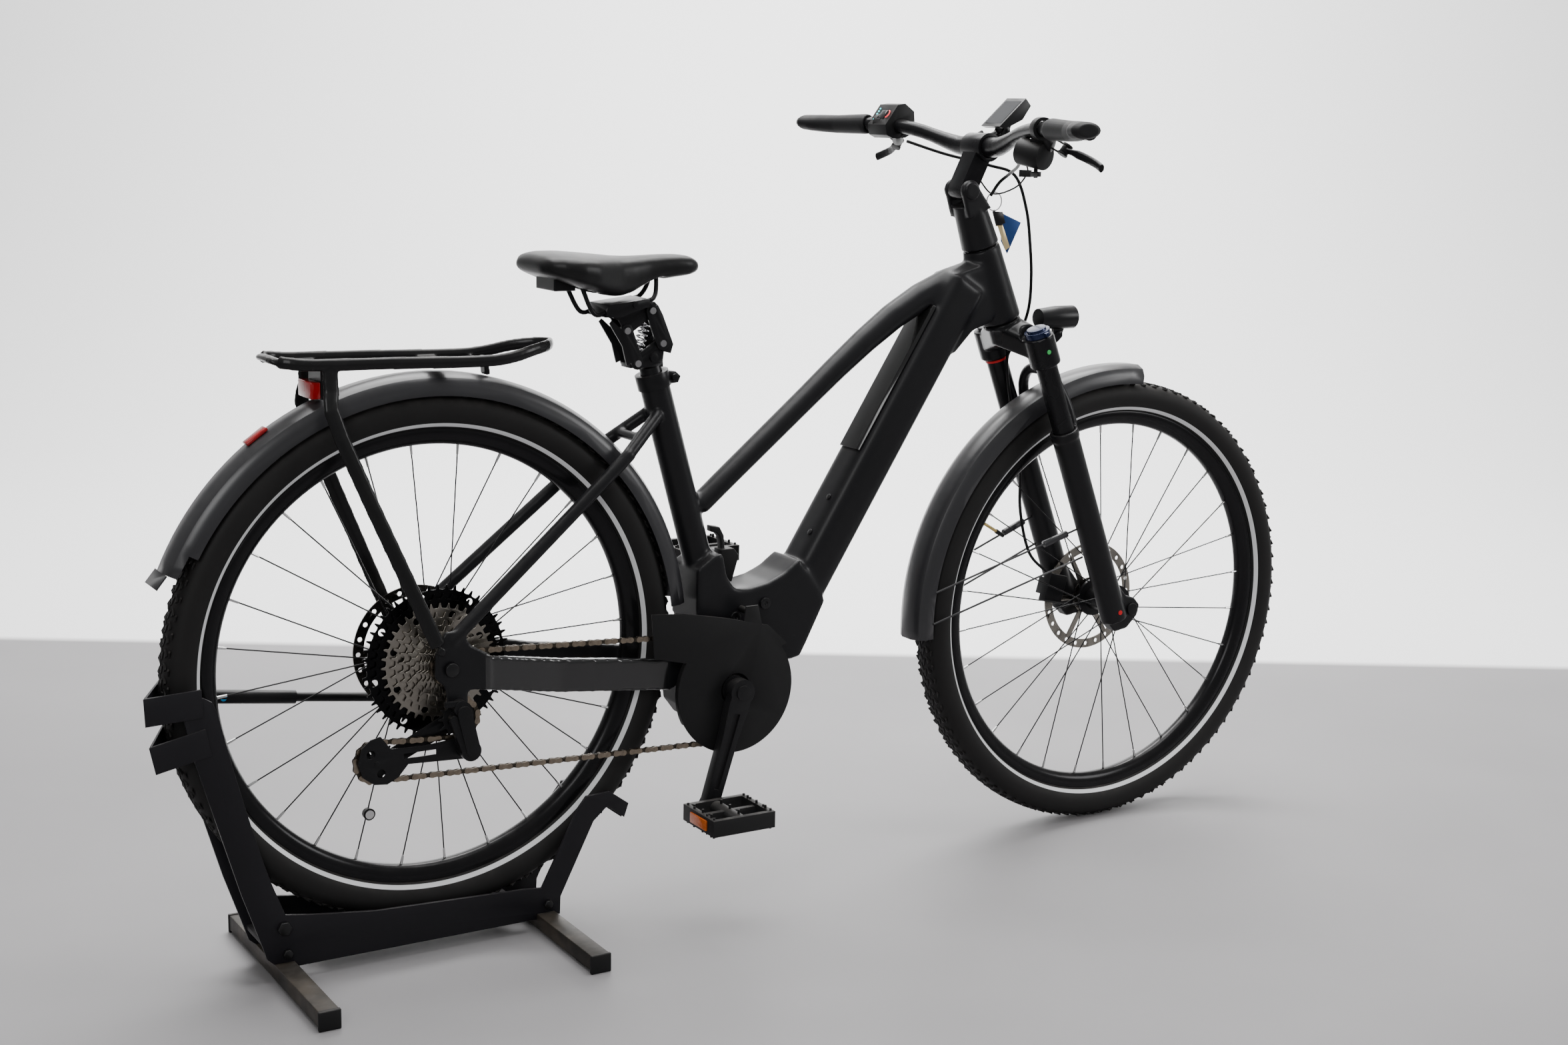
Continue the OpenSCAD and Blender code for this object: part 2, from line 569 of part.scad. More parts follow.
module rear_brake() color("#1b1b1d") place() difference() {
  union() {
    translate([0, 0, rear_axle_z]) rotate([0, -36, 0]) difference() {
      union() {
        translate([62, 40, -24]) cube([34, 22, 48]);
        translate([70, 61, -30]) cube([14, 9.5, 60]);
      }
      translate([50, 47.5, -30]) cube([42, 5, 60]);
    }
    for (k = [-20, 20]) translate([0, 0, rear_axle_z]) rotate([0, -36, 0]) translate([77, 70.4, k])
      rotate([-90, 0, 0]) cylinder(h = 4, r = 5, $fn = 6);
  }
  rod([2, 73, 446], [284, 47, 679], 9.8);
}

// ---------- wheels ----------
module tyre(c) place() translate(c) rotate([90, 0, 0]) rotate_extrude($fn = 120)
  polygon(let(w = tyre_width / 2, R = tyre_radius) concat(
    [for (s = [1]) each [[308.5, 9], [308.5, 12.7], [317, 12.7], [322, w - 8], [331, w - 2.2], [341, w], [351, w - 2],
      [R - 6, w - 9], [R - 1, w - 20], [R, w - 28]]],
    [[R, -w + 28], [R - 1, -w + 20], [R - 6, -w + 9], [351, -w + 2], [341, -w], [331, -w + 2.2], [322, -w + 8],
      [317, -12.7], [308.5, -12.7], [308.5, -9], [318, -9], [323, -w + 13], [332, -w + 6.5], [341, -w + 4.5],
      [350, -w + 6.5], [R - 10, -w + 13], [R - 4.5, -w + 24], [R - 4.5, w - 24], [R - 10, w - 13], [350, w - 6.5],
      [341, w - 4.5], [332, w - 6.5], [323, w - 13], [318, 9]]));

module rim(c) place() {
  translate(c) rotate([90, 0, 0]) rotate_extrude($fn = 120) polygon([[294, -7], [294, 7], [301, 13.5], [316.5, 15.2],
    [316.5, 13], [308, 12.9], [305, 9], [305, -9], [308, -12.9], [316.5, -13], [316.5, -15.2], [301, -13.5]]);
}

module valve(c, a) place() translate(c) rotate([0, -a, 0]) {
  translate([258, 0, 0]) rotate([0, 90, 0]) cylinder(h = 36.2, r = 2.6, $fn = 12);
  translate([246, 0, 0]) rotate([0, 90, 0]) cylinder(h = 14, r = 3.8, $fn = 12);
}

module spoke_set(c, flanges, r_flange) for (k = [0, 1]) for (i = [0:spoke_count / 2 - 1]) {
  a = 360 / spoke_count * (2 * i + k) + 4;
  h = a + (i % 2 == 0 ? 38 : -38);
  y = flanges[k];
  tip = c + [293.9 * cos(a), (k == 0 ? -1 : 1) * 2, 293.9 * sin(a)];
  root = c + [r_flange * cos(h), y + (i % 2 == 0 ? 1.2 : -1.2), r_flange * sin(h)];
  rod(root, tip, 1.1, $fn = 8);
  rod(tip - unit(tip - root) * 13, tip, 2, $fn = 8);
}

module rear_rim() color("#1a1a1c") {
  rim(hub_r);
  valve(hub_r, -12);
}
module rear_tyre() color("#262628") tyre(hub_r);
module rear_spokes() color("#303033") place() {
  difference() {
    union() {
      wheel_disc(hub_r, -26, 69, 13);
      for (y = [-21, 33]) wheel_disc(hub_r, y, y + 5, 31);
      wheel_disc(hub_r, -18, 36, 17);
      spoke_set(hub_r, [-18.5, 35.5], 26);
      // Speed magnet on one spoke
      translate(hub_r) rotate([0, 112, 0]) translate([224, 5, -6]) cube([15, 9, 12]);
    }
    wheel_disc(hub_r, -40, 80, 6.05);
  }
}

module rotor(c, y) place() translate([c[0], y, c[2]]) rotate([-90, 0, 0]) difference() {
  union() {
    difference() {
      cylinder(h = 2, r = 90, $fn = 72);
      translate([0, 0, -1]) cylinder(h = 4, r = 75);
    }
    cylinder(h = 2, r = 30);
    for (a = [0:60:300]) rotate([0, 0, a]) translate([26, -4.5, 0]) cube([52, 9, 2]);
  }
  translate([0, 0, -1]) cylinder(h = 4, r = 13.3);
  for (a = [0:15:345]) rotate([0, 0, a]) translate([82.5, 0, -1]) cylinder(h = 4, r = 3.4, $fn = 16);
}

module rear_rotor() color("#77716b") rotor(hub_r, 49);

module front_rim() color("#1a1a1c") {
  rim(hub_f);
  valve(hub_f, 149);
}
module front_tyre() color("#262628") tyre(hub_f);
module front_spokes() color("#303033") place() {
  difference() {
    union() {
      wheel_disc(hub_f, -50, 50, 13);
      for (y = [-33, 22]) wheel_disc(hub_f, y, y + 5, 31);
      wheel_disc(hub_f, -31, 25, 19);
      spoke_set(hub_f, [-30.5, 24.5], 26);
    }
    wheel_disc(hub_f, -60, 60, 6.05);
  }
}
module front_rotor() color("#77716b") rotor(hub_f, 38);

// ---------- saddle and seat post ----------
// Pivots of the sprung parallelogram
pf = [309.6, 800.7];
pd = [349.3, 827.5];
pc = [292.8, 847.3];
pb = [332.5, 874.1];

module seatpost() color("#1c1c1f") place() {
  rod([seat_x(560), 0, 560], [seat_x(794), 0, 794], 15.8);
  slab(-14, 14, [[300, 794], [352, 794], [352, 800], [330, 806], [300, 800]]);
  both() {
    link_bar(pf, pd, 8, 9.5, 14);
    slab(9.7, 13.8, [[305, 794.5], [351, 794.5], [354, 822], [346, 820], [312, 800]]);
  }
  for (p = [pf, pd]) wheel_disc([p[0], 0, p[1]], -20, 20, 3);
  wheel_disc([336, 0, 807.5], -19, -9, 6.4, $fn = 12);
}

module post_rear_link() color("#222225") place() both() difference() {
  union() {
    link_bar(pf, pc, 9, 14.4, 18.4);
    slab(14.7, 18.1, [[300, 802], [286, 848], [270, 862], [266, 858], [286, 826], [293, 799]]);
  }
  for (p = [pf, pc]) wheel_disc([p[0], 0, p[1]], 10, 22, 3.05);
}

module post_front_link() color("#222225") place() both() difference() {
  union() {
    link_bar(pd, pb, 9.5, 14.4, 18.4);
    slab(14.7, 18.1, [[344, 826], [326, 872], [341, 882], [349, 868], [366, 826], [362, 813], [350, 816]]);
  }
  for (p = [pd, pb]) wheel_disc([p[0], 0, p[1]], 10, 22, 3.05);
}

module post_head() color("#1a1a1c") place() {
  both() {
    link_bar(pc, pb, 8, 9.5, 14);
    slab(9.7, 13.8, [[288, 852], [300, 850], [336, 872], [340, 882], [264, 882], [268, 868], [282, 862]]);
  }
  difference() {
    union() {
      slab(-30, 30, [[254, 868], [259, 885], [322, 892], [322, 881], [296, 874], [280, 868]]);
      wheel_disc([300, 0, 884], -33, 33, 5);
    }
    both() {
      rod([230, 22, 867.7], [340, 22, 892.7], 3.9);
      slab(14.01, 19, [[240, 850], [340, 850], [340, 879], [240, 866]]);
    }
  }
  slab(-14, 14, [[262, 872], [262, 884], [338, 886], [345, 879], [340, 881.5], [322, 880], [296, 873]]);
  for (p = [pc, pb]) wheel_disc([p[0], 0, p[1]], -20, 20, 3);
}

module post_spring() color("#9a9aa0") place() bent([for (i = [0:66]) let(a = i * 36, t = i / 66)
  [318 + 12.6 * t + 7.1 * cos(a) * 0.96, 7.1 * sin(a), 813 + 44 * t - 7.1 * cos(a) * 0.28]], [1.25, 1.25], 6);

// Half width, top and lower edge of the saddle along its length
saddle_form = [[150, 40, 947, 932], [160, 58, 955, 927], [177, 70, 958, 920], [202, 74, 958, 911], [228, 68, 956, 903],
  [253, 54, 953.5, 897], [276, 41, 951, 893], [300, 32, 950, 897], [325, 26, 950.5, 908], [350, 24, 951.5, 916],
  [375, 22.5, 951.5, 919], [395, 20, 949, 921], [408, 14, 943, 925], [413, 6, 937, 929]];

function saddle_ring(s) = [for (a = [0:15:345])
  let(c = cos(a), d = sin(a), h = (s[2] - s[3]) / 2)
  [s[0], s[1] * sign(c) * pow(abs(c), 0.72), (s[2] + s[3]) / 2 + h * sign(d) * pow(abs(d), 0.62)]];

module saddle() color("#1f1f22") place() difference() {
  skin([for (s = saddle_form) saddle_ring(s)]);
  // Hollow underside
  translate([174, -34, 880]) cube([66, 68, 46]);
  translate([236, -20, 880]) cube([113, 40, 46]);
}

module saddle_rails() color("#161617") place() {
  both() bent(smooth([[342, 10, 921], [340, 14, 908], [336, 19, 897], [330, 22, 890.4], [324, 22, 889.1], [262, 22, 875], [244, 22, 871],
    [234, 23, 880], [222, 25, 905], [214, 25, 925]], 3), [3.5, 3.5], 10);
  translate([176, -30, 906]) cube([32, 60, 19]);
}

// ---------- fork and steering ----------
// All drawn about the steering axis: X forward of it, Z along it
module fork_upper() color("#1b1b1e") {
  steer() {
    translate([0, 0, 486]) cylinder(h = 143.7, r = 19);
    translate([0, 0, 505.5]) cylinder(h = 7, r = 23.4);
    translate([0, 0, 620]) cylinder(h = 8, r = 23.4);
    translate([0, 0, 498]) cylinder(h = 6.4, r = 30);
    both() {
      difference() {
        hull() {
          translate([leg_u, leg_y, 446]) cylinder(h = 26, r = 20, $fn = 32);
          translate([2, 0, 474]) cylinder(h = 27, r = 26, $fn = 32);
        }
        translate([leg_u, leg_y, 478]) cylinder(h = 30, r = 27);
      }
      translate([leg_u, leg_y, 430]) cylinder(h = 48, r = 24);
      translate([leg_u, leg_y, 110]) cylinder(h = 330, r = 17);
    }
    translate([leg_u, leg_y, 477.9]) cylinder(h = 6, r = 17);
    translate([leg_u, -leg_y, 477.9]) cylinder(h = 10, r = 5);
  }
  // Bracket for the headlight
  place() {
    slab(-7.5, 7.5, [[976, 812], [1000, 808], [1050, 797], [1060, 798], [1058, 804], [1050, 804], [1000, 816], [980, 828]]);
    both() slab(4.5, 7.5, [[1050, 798], [1060, 797], [1073, 808], [1072, 818], [1061, 817], [1052, 804]]);
    wheel_disc([1066, 0, 812], -8.5, 8.5, 2.5);
  }
}

module lockout_knob() color("#2a2d38") steer() difference() {
  union() {
    translate([leg_u, -leg_y, 478.4]) cylinder(h = 9, r = 20);
    translate([leg_u, -leg_y, 487.3]) cylinder(h = 4, r = 15);
    translate([leg_u - 3, -leg_y - 26, 480]) cube([6, 20, 6]);
  }
  translate([leg_u, -leg_y, 470]) cylinder(h = 18.3, r = 5.05);
}

module stem_base() color("#222226") steer() {
  translate([0, 0, 630]) cylinder(h = 70, r1 = 29, r2 = 24.5);
  both() {
    wheel_disc([-5, 0, 722], 17, 25, 16);
    slab(14, 25, [[-22, 684], [22, 684], [17, 699], [-20, 699]]);
    slab(17, 25, [[-22, 690], [20, 690], [9.5, 724], [-20, 724]]);
    wheel_disc([-5, 0, 722], 24.9, 29.5, 13);
  }
  wheel_disc([-5, 0, 722], -29, 29, 6);
}

stem_pivot = [steer_x - 5 * cos(lean) - 722 * sin(lean), 0, tyre_radius - 5 * sin(lean) + 722 * cos(lean)];
bar_clamp = [903, 0, 1103];

module stem_arm() color("#222226") place() {
  difference() {
    union() {
      link_bar([stem_pivot[0], stem_pivot[2]], [bar_clamp[0], bar_clamp[2]], 15, -16.6, 16.6);
      wheel_disc(bar_clamp, -24, 24, 21.5);
    }
    wheel_disc(stem_pivot, -30, 30, 6.05);
    wheel_disc(bar_clamp, -40, 40, 16.2);
  }
  // Face plate bolts and the display arm
  for (y = [-17, 17]) for (a = [-60, 60]) translate(bar_clamp) rotate([0, -25, 0])
    translate([14, y, sign(a) * 14]) rotate([0, 90, 0]) cylinder(h = 9, r = 3.2, $fn = 12);
  slab(-11, 11, [[917, 1111], [925, 1106], [940, 1117], [936, 1121]]);
  both() slab(8.4, 11.5, [[930, 1112], [939, 1114], [950, 1124], [949, 1133], [940, 1135], [934, 1124]]);
  wheel_disc([944, 0, 1128], -12.5, 12.5, 2.5);
}

// Handlebar centre line on the left half, from the clamp outward
bar_line = [[903, 0, 1103], [903, 26, 1103], [900, 52, 1105], [892, 86, 1113.5], [882, 122, 1123.5],
  [872, 160, 1130], [858, 212, 1133.5]];
function bar_at(y) = [858 - (y - 212) * tan(bar_sweep), y, 1133.5 - (y - 212) * 0.02];
bar_way = concat(smooth(bar_line, 2), [bar_at(290), bar_at(bar_half - 4)]);
function bar_r(y) = y < 30 ? 15.9 : max(11.1, 15.9 - (y - 30) * 0.07);
module bar_half_tube(grow, n) bent([for (p = bar_way) p], [for (p = bar_way) [bar_r(p[1]) + grow, bar_r(p[1]) + grow]], n);

module handlebar() color("#26262a") place() both() translate([0, -0.01, 0]) bar_half_tube(0, 16);

module grips() color("#2c2c30") place() both() difference() {
  bent([bar_at(234), bar_at(240), bar_at(300), bar_at(326) + [-3, 0, 1], bar_at(346) + [-7, 0, 2],
    bar_at(bar_half - 4) + [-9, 0, 3], bar_at(bar_half + 4) + [-9, 0, 3]],
    [[15, 15], [16.5, 16], [15, 14.5], [17, 14], [22, 13], [22, 12], [15, 9]], 20);
  bar_half_tube(0.35, 16);
}

// Tilt of the remote's face towards the rider
remote_tilt = -53.4;
pull_axis = unit([0.565, 0.14, 0.814]);
lever_pivot = [896, 214, 1104];
// Where the lever's fork leaves its clamp, square to the pull axis from the pivot
lever_root = [885.3, 194.8, 1114.7];

module controls() color("#1a1a1c") place() difference() {
  union() {
    both() {
      rod(bar_at(197), bar_at(211), 16.5);
      rod([868, 174, 1120], [886, 199, 1109], 9);
      rod([866, 200, 1124], [880, 196, 1112], 7);
      for (k = [-1, 1]) {
        rod(lever_pivot + pull_axis * k * 5.4, lever_pivot + pull_axis * k * 8.6, 8);
        rod(lever_pivot + pull_axis * k * 7, lever_root + pull_axis * k * 7, 1.5);
      }
      rod(lever_root - pull_axis * 8.6, lever_root + pull_axis * 8.6, 3);
      rod(lever_pivot - pull_axis * 8.6, lever_pivot + pull_axis * 8.6, 3);
    }
    // Shifter pod on the right
    rod([866, -152, 1101], [876, -194, 1094], 20);
    rod([874, -176, 1063], [874, -176, 1082], 3);
    // Remote on the left
    slab(170, 221, [[845, 1117], [842, 1133], [865, 1164], [879, 1166], [896, 1154], [899, 1122], [880, 1113], [856, 1112]]);
  }
  both() bar_half_tube(0.35, 16);
  both() rod(bar_at(180), bar_at(230), 11.5);
  translate([853.5, 194, 1148.5]) rotate([0, remote_tilt, 0]) translate([-8.3, -8.3, -3]) cube([16.6, 16.6, 10]);
}

module remote_button() color("#303036") place()
  translate([853.5, 194, 1148.5]) rotate([0, remote_tilt, 0]) translate([-8, -8, -2]) cube([16, 16, 3.6]);

module lever() difference() {
  union() {
    rod(lever_pivot - pull_axis * 5, lever_pivot + pull_axis * 5, 7);
    bent(smooth([[897, 217, 1103], [904, 234, 1098], [909, 254, 1091], [908, 273, 1085], [905, 287, 1080]], 2),
      [4, 6.5], 10);
  }
  rod(lever_pivot - pull_axis * 9, lever_pivot + pull_axis * 9, 3.05);
  for (k = [-1, 1]) rod(lever_pivot + pull_axis * k * 5.2, lever_pivot + pull_axis * k * 14, 8.8);
}

module brake_lever_left() color("#1c1c1f") place() lever();
module brake_lever_right() color("#1c1c1f") place() mirror([0, 1, 0]) lever();

module shift_lever() color("#1e1e21") place() difference() {
  union() {
    translate([874, -176, 1065]) cylinder(h = 7, r = 8);
    translate([874, -176, 1065]) rotate([0, 0, 205]) translate([4, -6, 0]) cube([30, 12, 5]);
    translate([874, -176, 1065]) rotate([0, 0, 205]) translate([30, -9, 0]) cube([5, 18, 10]);
  }
  translate([874, -176, 1060]) cylinder(h = 20, r = 3.05);
}

module display() color("#2e2e34") place() difference() {
  union() {
    slab(-24, 24, [[920, 1134.5], [968, 1177], [978, 1166], [963, 1145], [944, 1136.5], [930, 1131.5]]);
    slab(-8, 8, [[938, 1128], [939, 1123], [948, 1122], [951, 1128], [956, 1142], [940, 1140]]);
  }
  wheel_disc([944, 0, 1128], -12, 12, 2.55);
  both() slab(8, 12.9, [[926, 1108], [955, 1112], [957, 1139], [944, 1139], [930, 1132]]);
}

module headlight() color("#202024") place() difference() {
  union() {
    rod([1027, 0, 838], [1060, 0, 838], 15, 18.5);
    rod([1060, 0, 838], [1095, 0, 838], 18.5);
    slab(-4.1, 4.1, [[1056, 824], [1078, 824], [1072, 807], [1061, 806]]);
  }
  wheel_disc([1066, 0, 812], -10, 10, 2.55);
  rod([1092, 0, 838], [1100, 0, 838], 16);
}

module fork_lowers() color("#1d1d20") steer() difference() {
  union() {
    both() {
      translate([leg_u, leg_y, -22]) cylinder(h = 339, r = 21.5);
      translate([leg_u, leg_y, 304]) cylinder(h = 13, r = 23);
      slab(51, 73, [[-2, -20], [6, -40], [30, -45], [56, -34], [66, -20], [60, -4], [45, 8], [34, 40], [20, 60]]);
    }
    // Arch over the tyre, ahead of the legs
    bent(smooth([[20, 62, 280], [38, 60, 322], [42, 47, 374], [42, 24, 399], [42, 0, 404], [42, -24, 399], [42, -47, 374],
      [38, -60, 322], [20, -62, 280]], 3), [9, 8.5], 12);
  }
  both() translate([leg_u, leg_y, 20]) cylinder(h = 330, r = 17.05);
  wheel_disc([hub_u, 0, hub_w], -80, 80, 6.1);
}

module front_mudguard() color("#2b2b2f") place() {
  mud_place(tyre_radius, wheelbase) blade(393, 84, 183);
  both() {
    rod([826, 30.9, 421], [1076, 59, 505], 1.7, $fn = 8);
    rod([823, 30.9, 371], [1089, 61, 459], 1.7, $fn = 8);
    rod([1016, 52.3, 484.8], [1058, 57, 499], 5.5, $fn = 10);
  }
}

module front_brake() color("#1b1b1d") place() {
  translate(hub_f) rotate([0, -165, 0]) difference() {
    translate([62, 27, -24]) cube([36, 16.2, 48]);
    translate([50, 36.6, -30]) cube([43, 4.8, 60]);
  }
  translate(hub_f) rotate([0, -165, 0]) translate([84, 43, -14]) cube([14, 12, 28]);
  translate([wheelbase, -74, tyre_radius]) rotate([-90, 0, 0]) cylinder(h = 148, r = 6);
  for (y = [-77, 73.3]) translate([wheelbase, y, tyre_radius]) rotate([-90, 0, 0]) cylinder(h = 3.7, r = 10);
}

// ---------- loose cables and keys ----------
hose_front = [[870, 150, 1108], [905, 95, 1090], [942, 30, 1075], [975, 6, 1060], [1000, 6, 1008], [1012, 8, 950],
  [1018, 10, 900], [1021, 18, 850], [1014, 34, 800], [1002, 43, 770], [1010, 40, 700], [1034, 41, 600],
  [1040, 42, 520], [1060, 40, 450], [1094, 36, 416]];
hose_rear = [[866, -148, 1094], [900, -100, 1078], [925, -46, 1064], [926, -20, 1050], [918, -10, 1030]];
wire_thin = [[958, -28, 1088], [972, -30, 1070], [962, -24, 1048], [944, -14, 1036], [932, -1, 1032.3], [928, 12, 1037],
  [916, 20, 1056]];

module bar_cables() color("#141416") place() {
  bent(smooth(hose_front, 2), [2.5, 2.5], 8);
  bent(smooth(hose_rear, 2), [2.5, 2.5], 8);
  bent(smooth(wire_thin, 2), [1.3, 1.3], 8);
}

module keys() color("#b9a36a") place() {
  translate([932, -1, 1021]) rotate([90, 0, 0]) rotate_extrude($fn = 32) translate([14, 0]) circle(r = 1, $fn = 8);
  translate([932, -2.6, 1035]) rotate([-90, 0, 0]) cylinder(h = 3.2, r = 1.3);
  slab(-5, -2, [[928, 1006], [946, 1005], [952, 988], [936, 983]]);
  slab(-4.3, -2.7, [[938, 985], [947, 986], [963, 951], [955, 946]]);
  slab(0, 2.5, [[948, 1003], [986, 988], [962, 941], [950, 960]]);
  rod([933, -3, 1003], [932, -1, 1008], 1.6, $fn = 8);
  rod([948, -3, 1001], [950, 1.5, 1000], 1.6, $fn = 8);
}

stand_frame();
stand_crossbars();
stand_feet();
stand_bolts();
frame();
battery_cover();
frame_bolts();
motor();
chain_guard();
seat_clamp();
rear_axle();
rack();
rear_lights();
rear_mudguard();
lock_bracket();
kickstand_mount();
chain();
derailleur_body();
derailleur_cage();
rear_brake();
kickstand_leg();
guide_pulley();
tension_pulley();
crankset();
pedal_right();
pedal_left();
cassette();
rear_rim();
rear_tyre();
rear_spokes();
rear_rotor();
seatpost();
post_rear_link();
post_front_link();
post_head();
post_spring();
saddle();
saddle_rails();
fork_upper();
lockout_knob();
stem_base();
stem_arm();
handlebar();
grips();
controls();
brake_lever_right();
brake_lever_left();
shift_lever();
remote_button();
display();
headlight();
fork_lowers();
front_mudguard();
front_brake();
front_rim();
front_tyre();
front_spokes();
front_rotor();
bar_cables();
keys();
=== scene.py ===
import math
import bpy
import bmesh
from mathutils import Matrix, Vector


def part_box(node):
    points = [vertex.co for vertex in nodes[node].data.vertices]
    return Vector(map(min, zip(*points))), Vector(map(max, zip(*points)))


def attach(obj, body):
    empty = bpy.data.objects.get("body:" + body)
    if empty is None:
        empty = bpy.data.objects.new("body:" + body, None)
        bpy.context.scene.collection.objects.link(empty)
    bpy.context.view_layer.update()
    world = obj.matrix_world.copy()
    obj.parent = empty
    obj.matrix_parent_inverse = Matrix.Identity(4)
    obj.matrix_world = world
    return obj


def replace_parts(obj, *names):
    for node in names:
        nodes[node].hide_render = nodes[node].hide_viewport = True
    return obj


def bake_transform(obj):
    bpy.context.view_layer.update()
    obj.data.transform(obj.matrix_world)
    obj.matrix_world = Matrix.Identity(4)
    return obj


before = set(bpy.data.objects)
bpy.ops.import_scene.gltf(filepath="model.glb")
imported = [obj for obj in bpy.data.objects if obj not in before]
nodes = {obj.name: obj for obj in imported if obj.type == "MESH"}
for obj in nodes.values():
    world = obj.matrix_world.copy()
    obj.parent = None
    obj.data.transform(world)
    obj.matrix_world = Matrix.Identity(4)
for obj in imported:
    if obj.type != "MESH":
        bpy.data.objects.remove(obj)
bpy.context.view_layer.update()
scene = bpy.context.scene

# ---- Camera ----
# A standing view of the chain side, a little from behind, with a normal lens.
CAMERA_PLACE = Vector((-1.6364, -2.6684, 1.1576))
CAMERA_YAW, CAMERA_PITCH, CAMERA_ROLL = math.radians(31.37), math.radians(-11.02), math.radians(1.09)
camera_data = bpy.data.cameras.new("camera")
camera_data.lens = 49.02
camera_data.sensor_width = 36
camera = bpy.data.objects.new("camera", camera_data)
scene.collection.objects.link(camera)
ahead = Vector((math.sin(CAMERA_YAW) * math.cos(CAMERA_PITCH), math.cos(CAMERA_YAW) * math.cos(CAMERA_PITCH),
                math.sin(CAMERA_PITCH)))
level_right = ahead.cross(Vector((0, 0, 1))).normalized()
level_up = level_right.cross(ahead)
right = level_right * math.cos(CAMERA_ROLL) + level_up * math.sin(CAMERA_ROLL)
up = level_up * math.cos(CAMERA_ROLL) - level_right * math.sin(CAMERA_ROLL)
turn = Matrix((right, up, -ahead)).transposed().to_4x4()
camera.matrix_world = Matrix.Translation(CAMERA_PLACE) @ turn
scene.camera = camera

# ---- Surface of paint, metal and plastic ----
# Every hard finish on the bicycle has patches of slightly different tone, a fine grain and a little dust
# on the faces that look up. One node group holds that, and each finish sets its own amounts.
REAR_AXLE_X = -0.575


def at(x, y, z):
    """A place on the bicycle in millimetres from the rear axle, on the floor, as metres in the shared frame."""
    return Vector((REAR_AXLE_X + x / 1000, y / 1000, z / 1000))


def group_of(name, inputs, outputs, kind="ShaderNodeTree"):
    tree = bpy.data.node_groups.new(name, kind)
    for label, socket, value in inputs:
        item = tree.interface.new_socket(label, in_out="INPUT", socket_type=socket)
        if value is not None:
            item.default_value = value
    for label, socket in outputs:
        tree.interface.new_socket(label, in_out="OUTPUT", socket_type=socket)
    return tree, tree.nodes.new("NodeGroupInput"), tree.nodes.new("NodeGroupOutput")


def object_place(tree):
    """Where a point lies on its own piece, in metres."""
    return tree.nodes.new("ShaderNodeTexCoord").outputs["Object"]


def calc(tree, operation, *values):
    node = tree.nodes.new("ShaderNodeMath")
    node.operation = operation
    for i, value in enumerate(values):
        if isinstance(value, bpy.types.NodeSocket):
            tree.links.new(value, node.inputs[i])
        else:
            node.inputs[i].default_value = value
    return node.outputs[0]


def noise(tree, vector, scale, detail=2.0):
    node = tree.nodes.new("ShaderNodeTexNoise")
    node.inputs["Detail"].default_value = detail
    tree.links.new(vector, node.inputs["Vector"])
    if isinstance(scale, bpy.types.NodeSocket):
        tree.links.new(scale, node.inputs["Scale"])
    else:
        node.inputs["Scale"].default_value = scale
    return node.outputs["Fac"]


def blend_colour(tree, factor, a, b, mode="MIX"):
    node = tree.nodes.new("ShaderNodeMix")
    node.data_type = "RGBA"
    node.blend_type = mode
    for socket, value in ((node.inputs[0], factor), (node.inputs[6], a), (node.inputs[7], b)):
        if isinstance(value, bpy.types.NodeSocket):
            tree.links.new(value, socket)
        else:
            socket.default_value = value
    return node.outputs[2]


tree, given, result = group_of("hard_surface", [
    ("Colour", "NodeSocketColor", (0.1, 0.1, 0.1, 1)), ("Colour Change", "NodeSocketFloat", 0.15),
    ("Roughness", "NodeSocketFloat", 0.4), ("Roughness Change", "NodeSocketFloat", 0.08),
    ("Patch Scale", "NodeSocketFloat", 9.0), ("Grain Scale", "NodeSocketFloat", 1400.0),
    ("Dust", "NodeSocketFloat", 0.1)],
    [("Colour", "NodeSocketColor"), ("Roughness", "NodeSocketFloat"), ("Height", "NodeSocketFloat")])
place = object_place(tree)
patches = noise(tree, place, given.outputs["Patch Scale"], 4)
grain = noise(tree, place, given.outputs["Grain Scale"], 1)
swing = calc(tree, "MULTIPLY", calc(tree, "SUBTRACT", patches, 0.5), 2.0)
tone = calc(tree, "ADD", calc(tree, "MULTIPLY", swing, given.outputs["Colour Change"]), 1.0)
scaled = tree.nodes.new("ShaderNodeVectorMath")
scaled.operation = "SCALE"
tree.links.new(given.outputs["Colour"], scaled.inputs[0])
tree.links.new(tone, scaled.inputs["Scale"])
facing = tree.nodes.new("ShaderNodeSeparateXYZ")
tree.links.new(tree.nodes.new("ShaderNodeNewGeometry").outputs["Normal"], facing.inputs[0])
lying = calc(tree, "POWER", calc(tree, "MAXIMUM", facing.outputs["Z"], 0.0), 2.0)
specks = calc(tree, "POWER", noise(tree, place, 55.0, 6), 2.0)
dusty = calc(tree, "MULTIPLY", calc(tree, "MULTIPLY", lying, specks), given.outputs["Dust"])
tree.links.new(blend_colour(tree, dusty, scaled.outputs[0], (0.42, 0.39, 0.36, 1)), result.inputs["Colour"])
rougher = calc(tree, "ADD", given.outputs["Roughness"],
               calc(tree, "MULTIPLY", swing, given.outputs["Roughness Change"]))
tree.links.new(calc(tree, "ADD", rougher, calc(tree, "MULTIPLY", dusty, 0.5)), result.inputs["Roughness"])
tree.links.new(grain, result.inputs["Height"])
hard_surface = tree


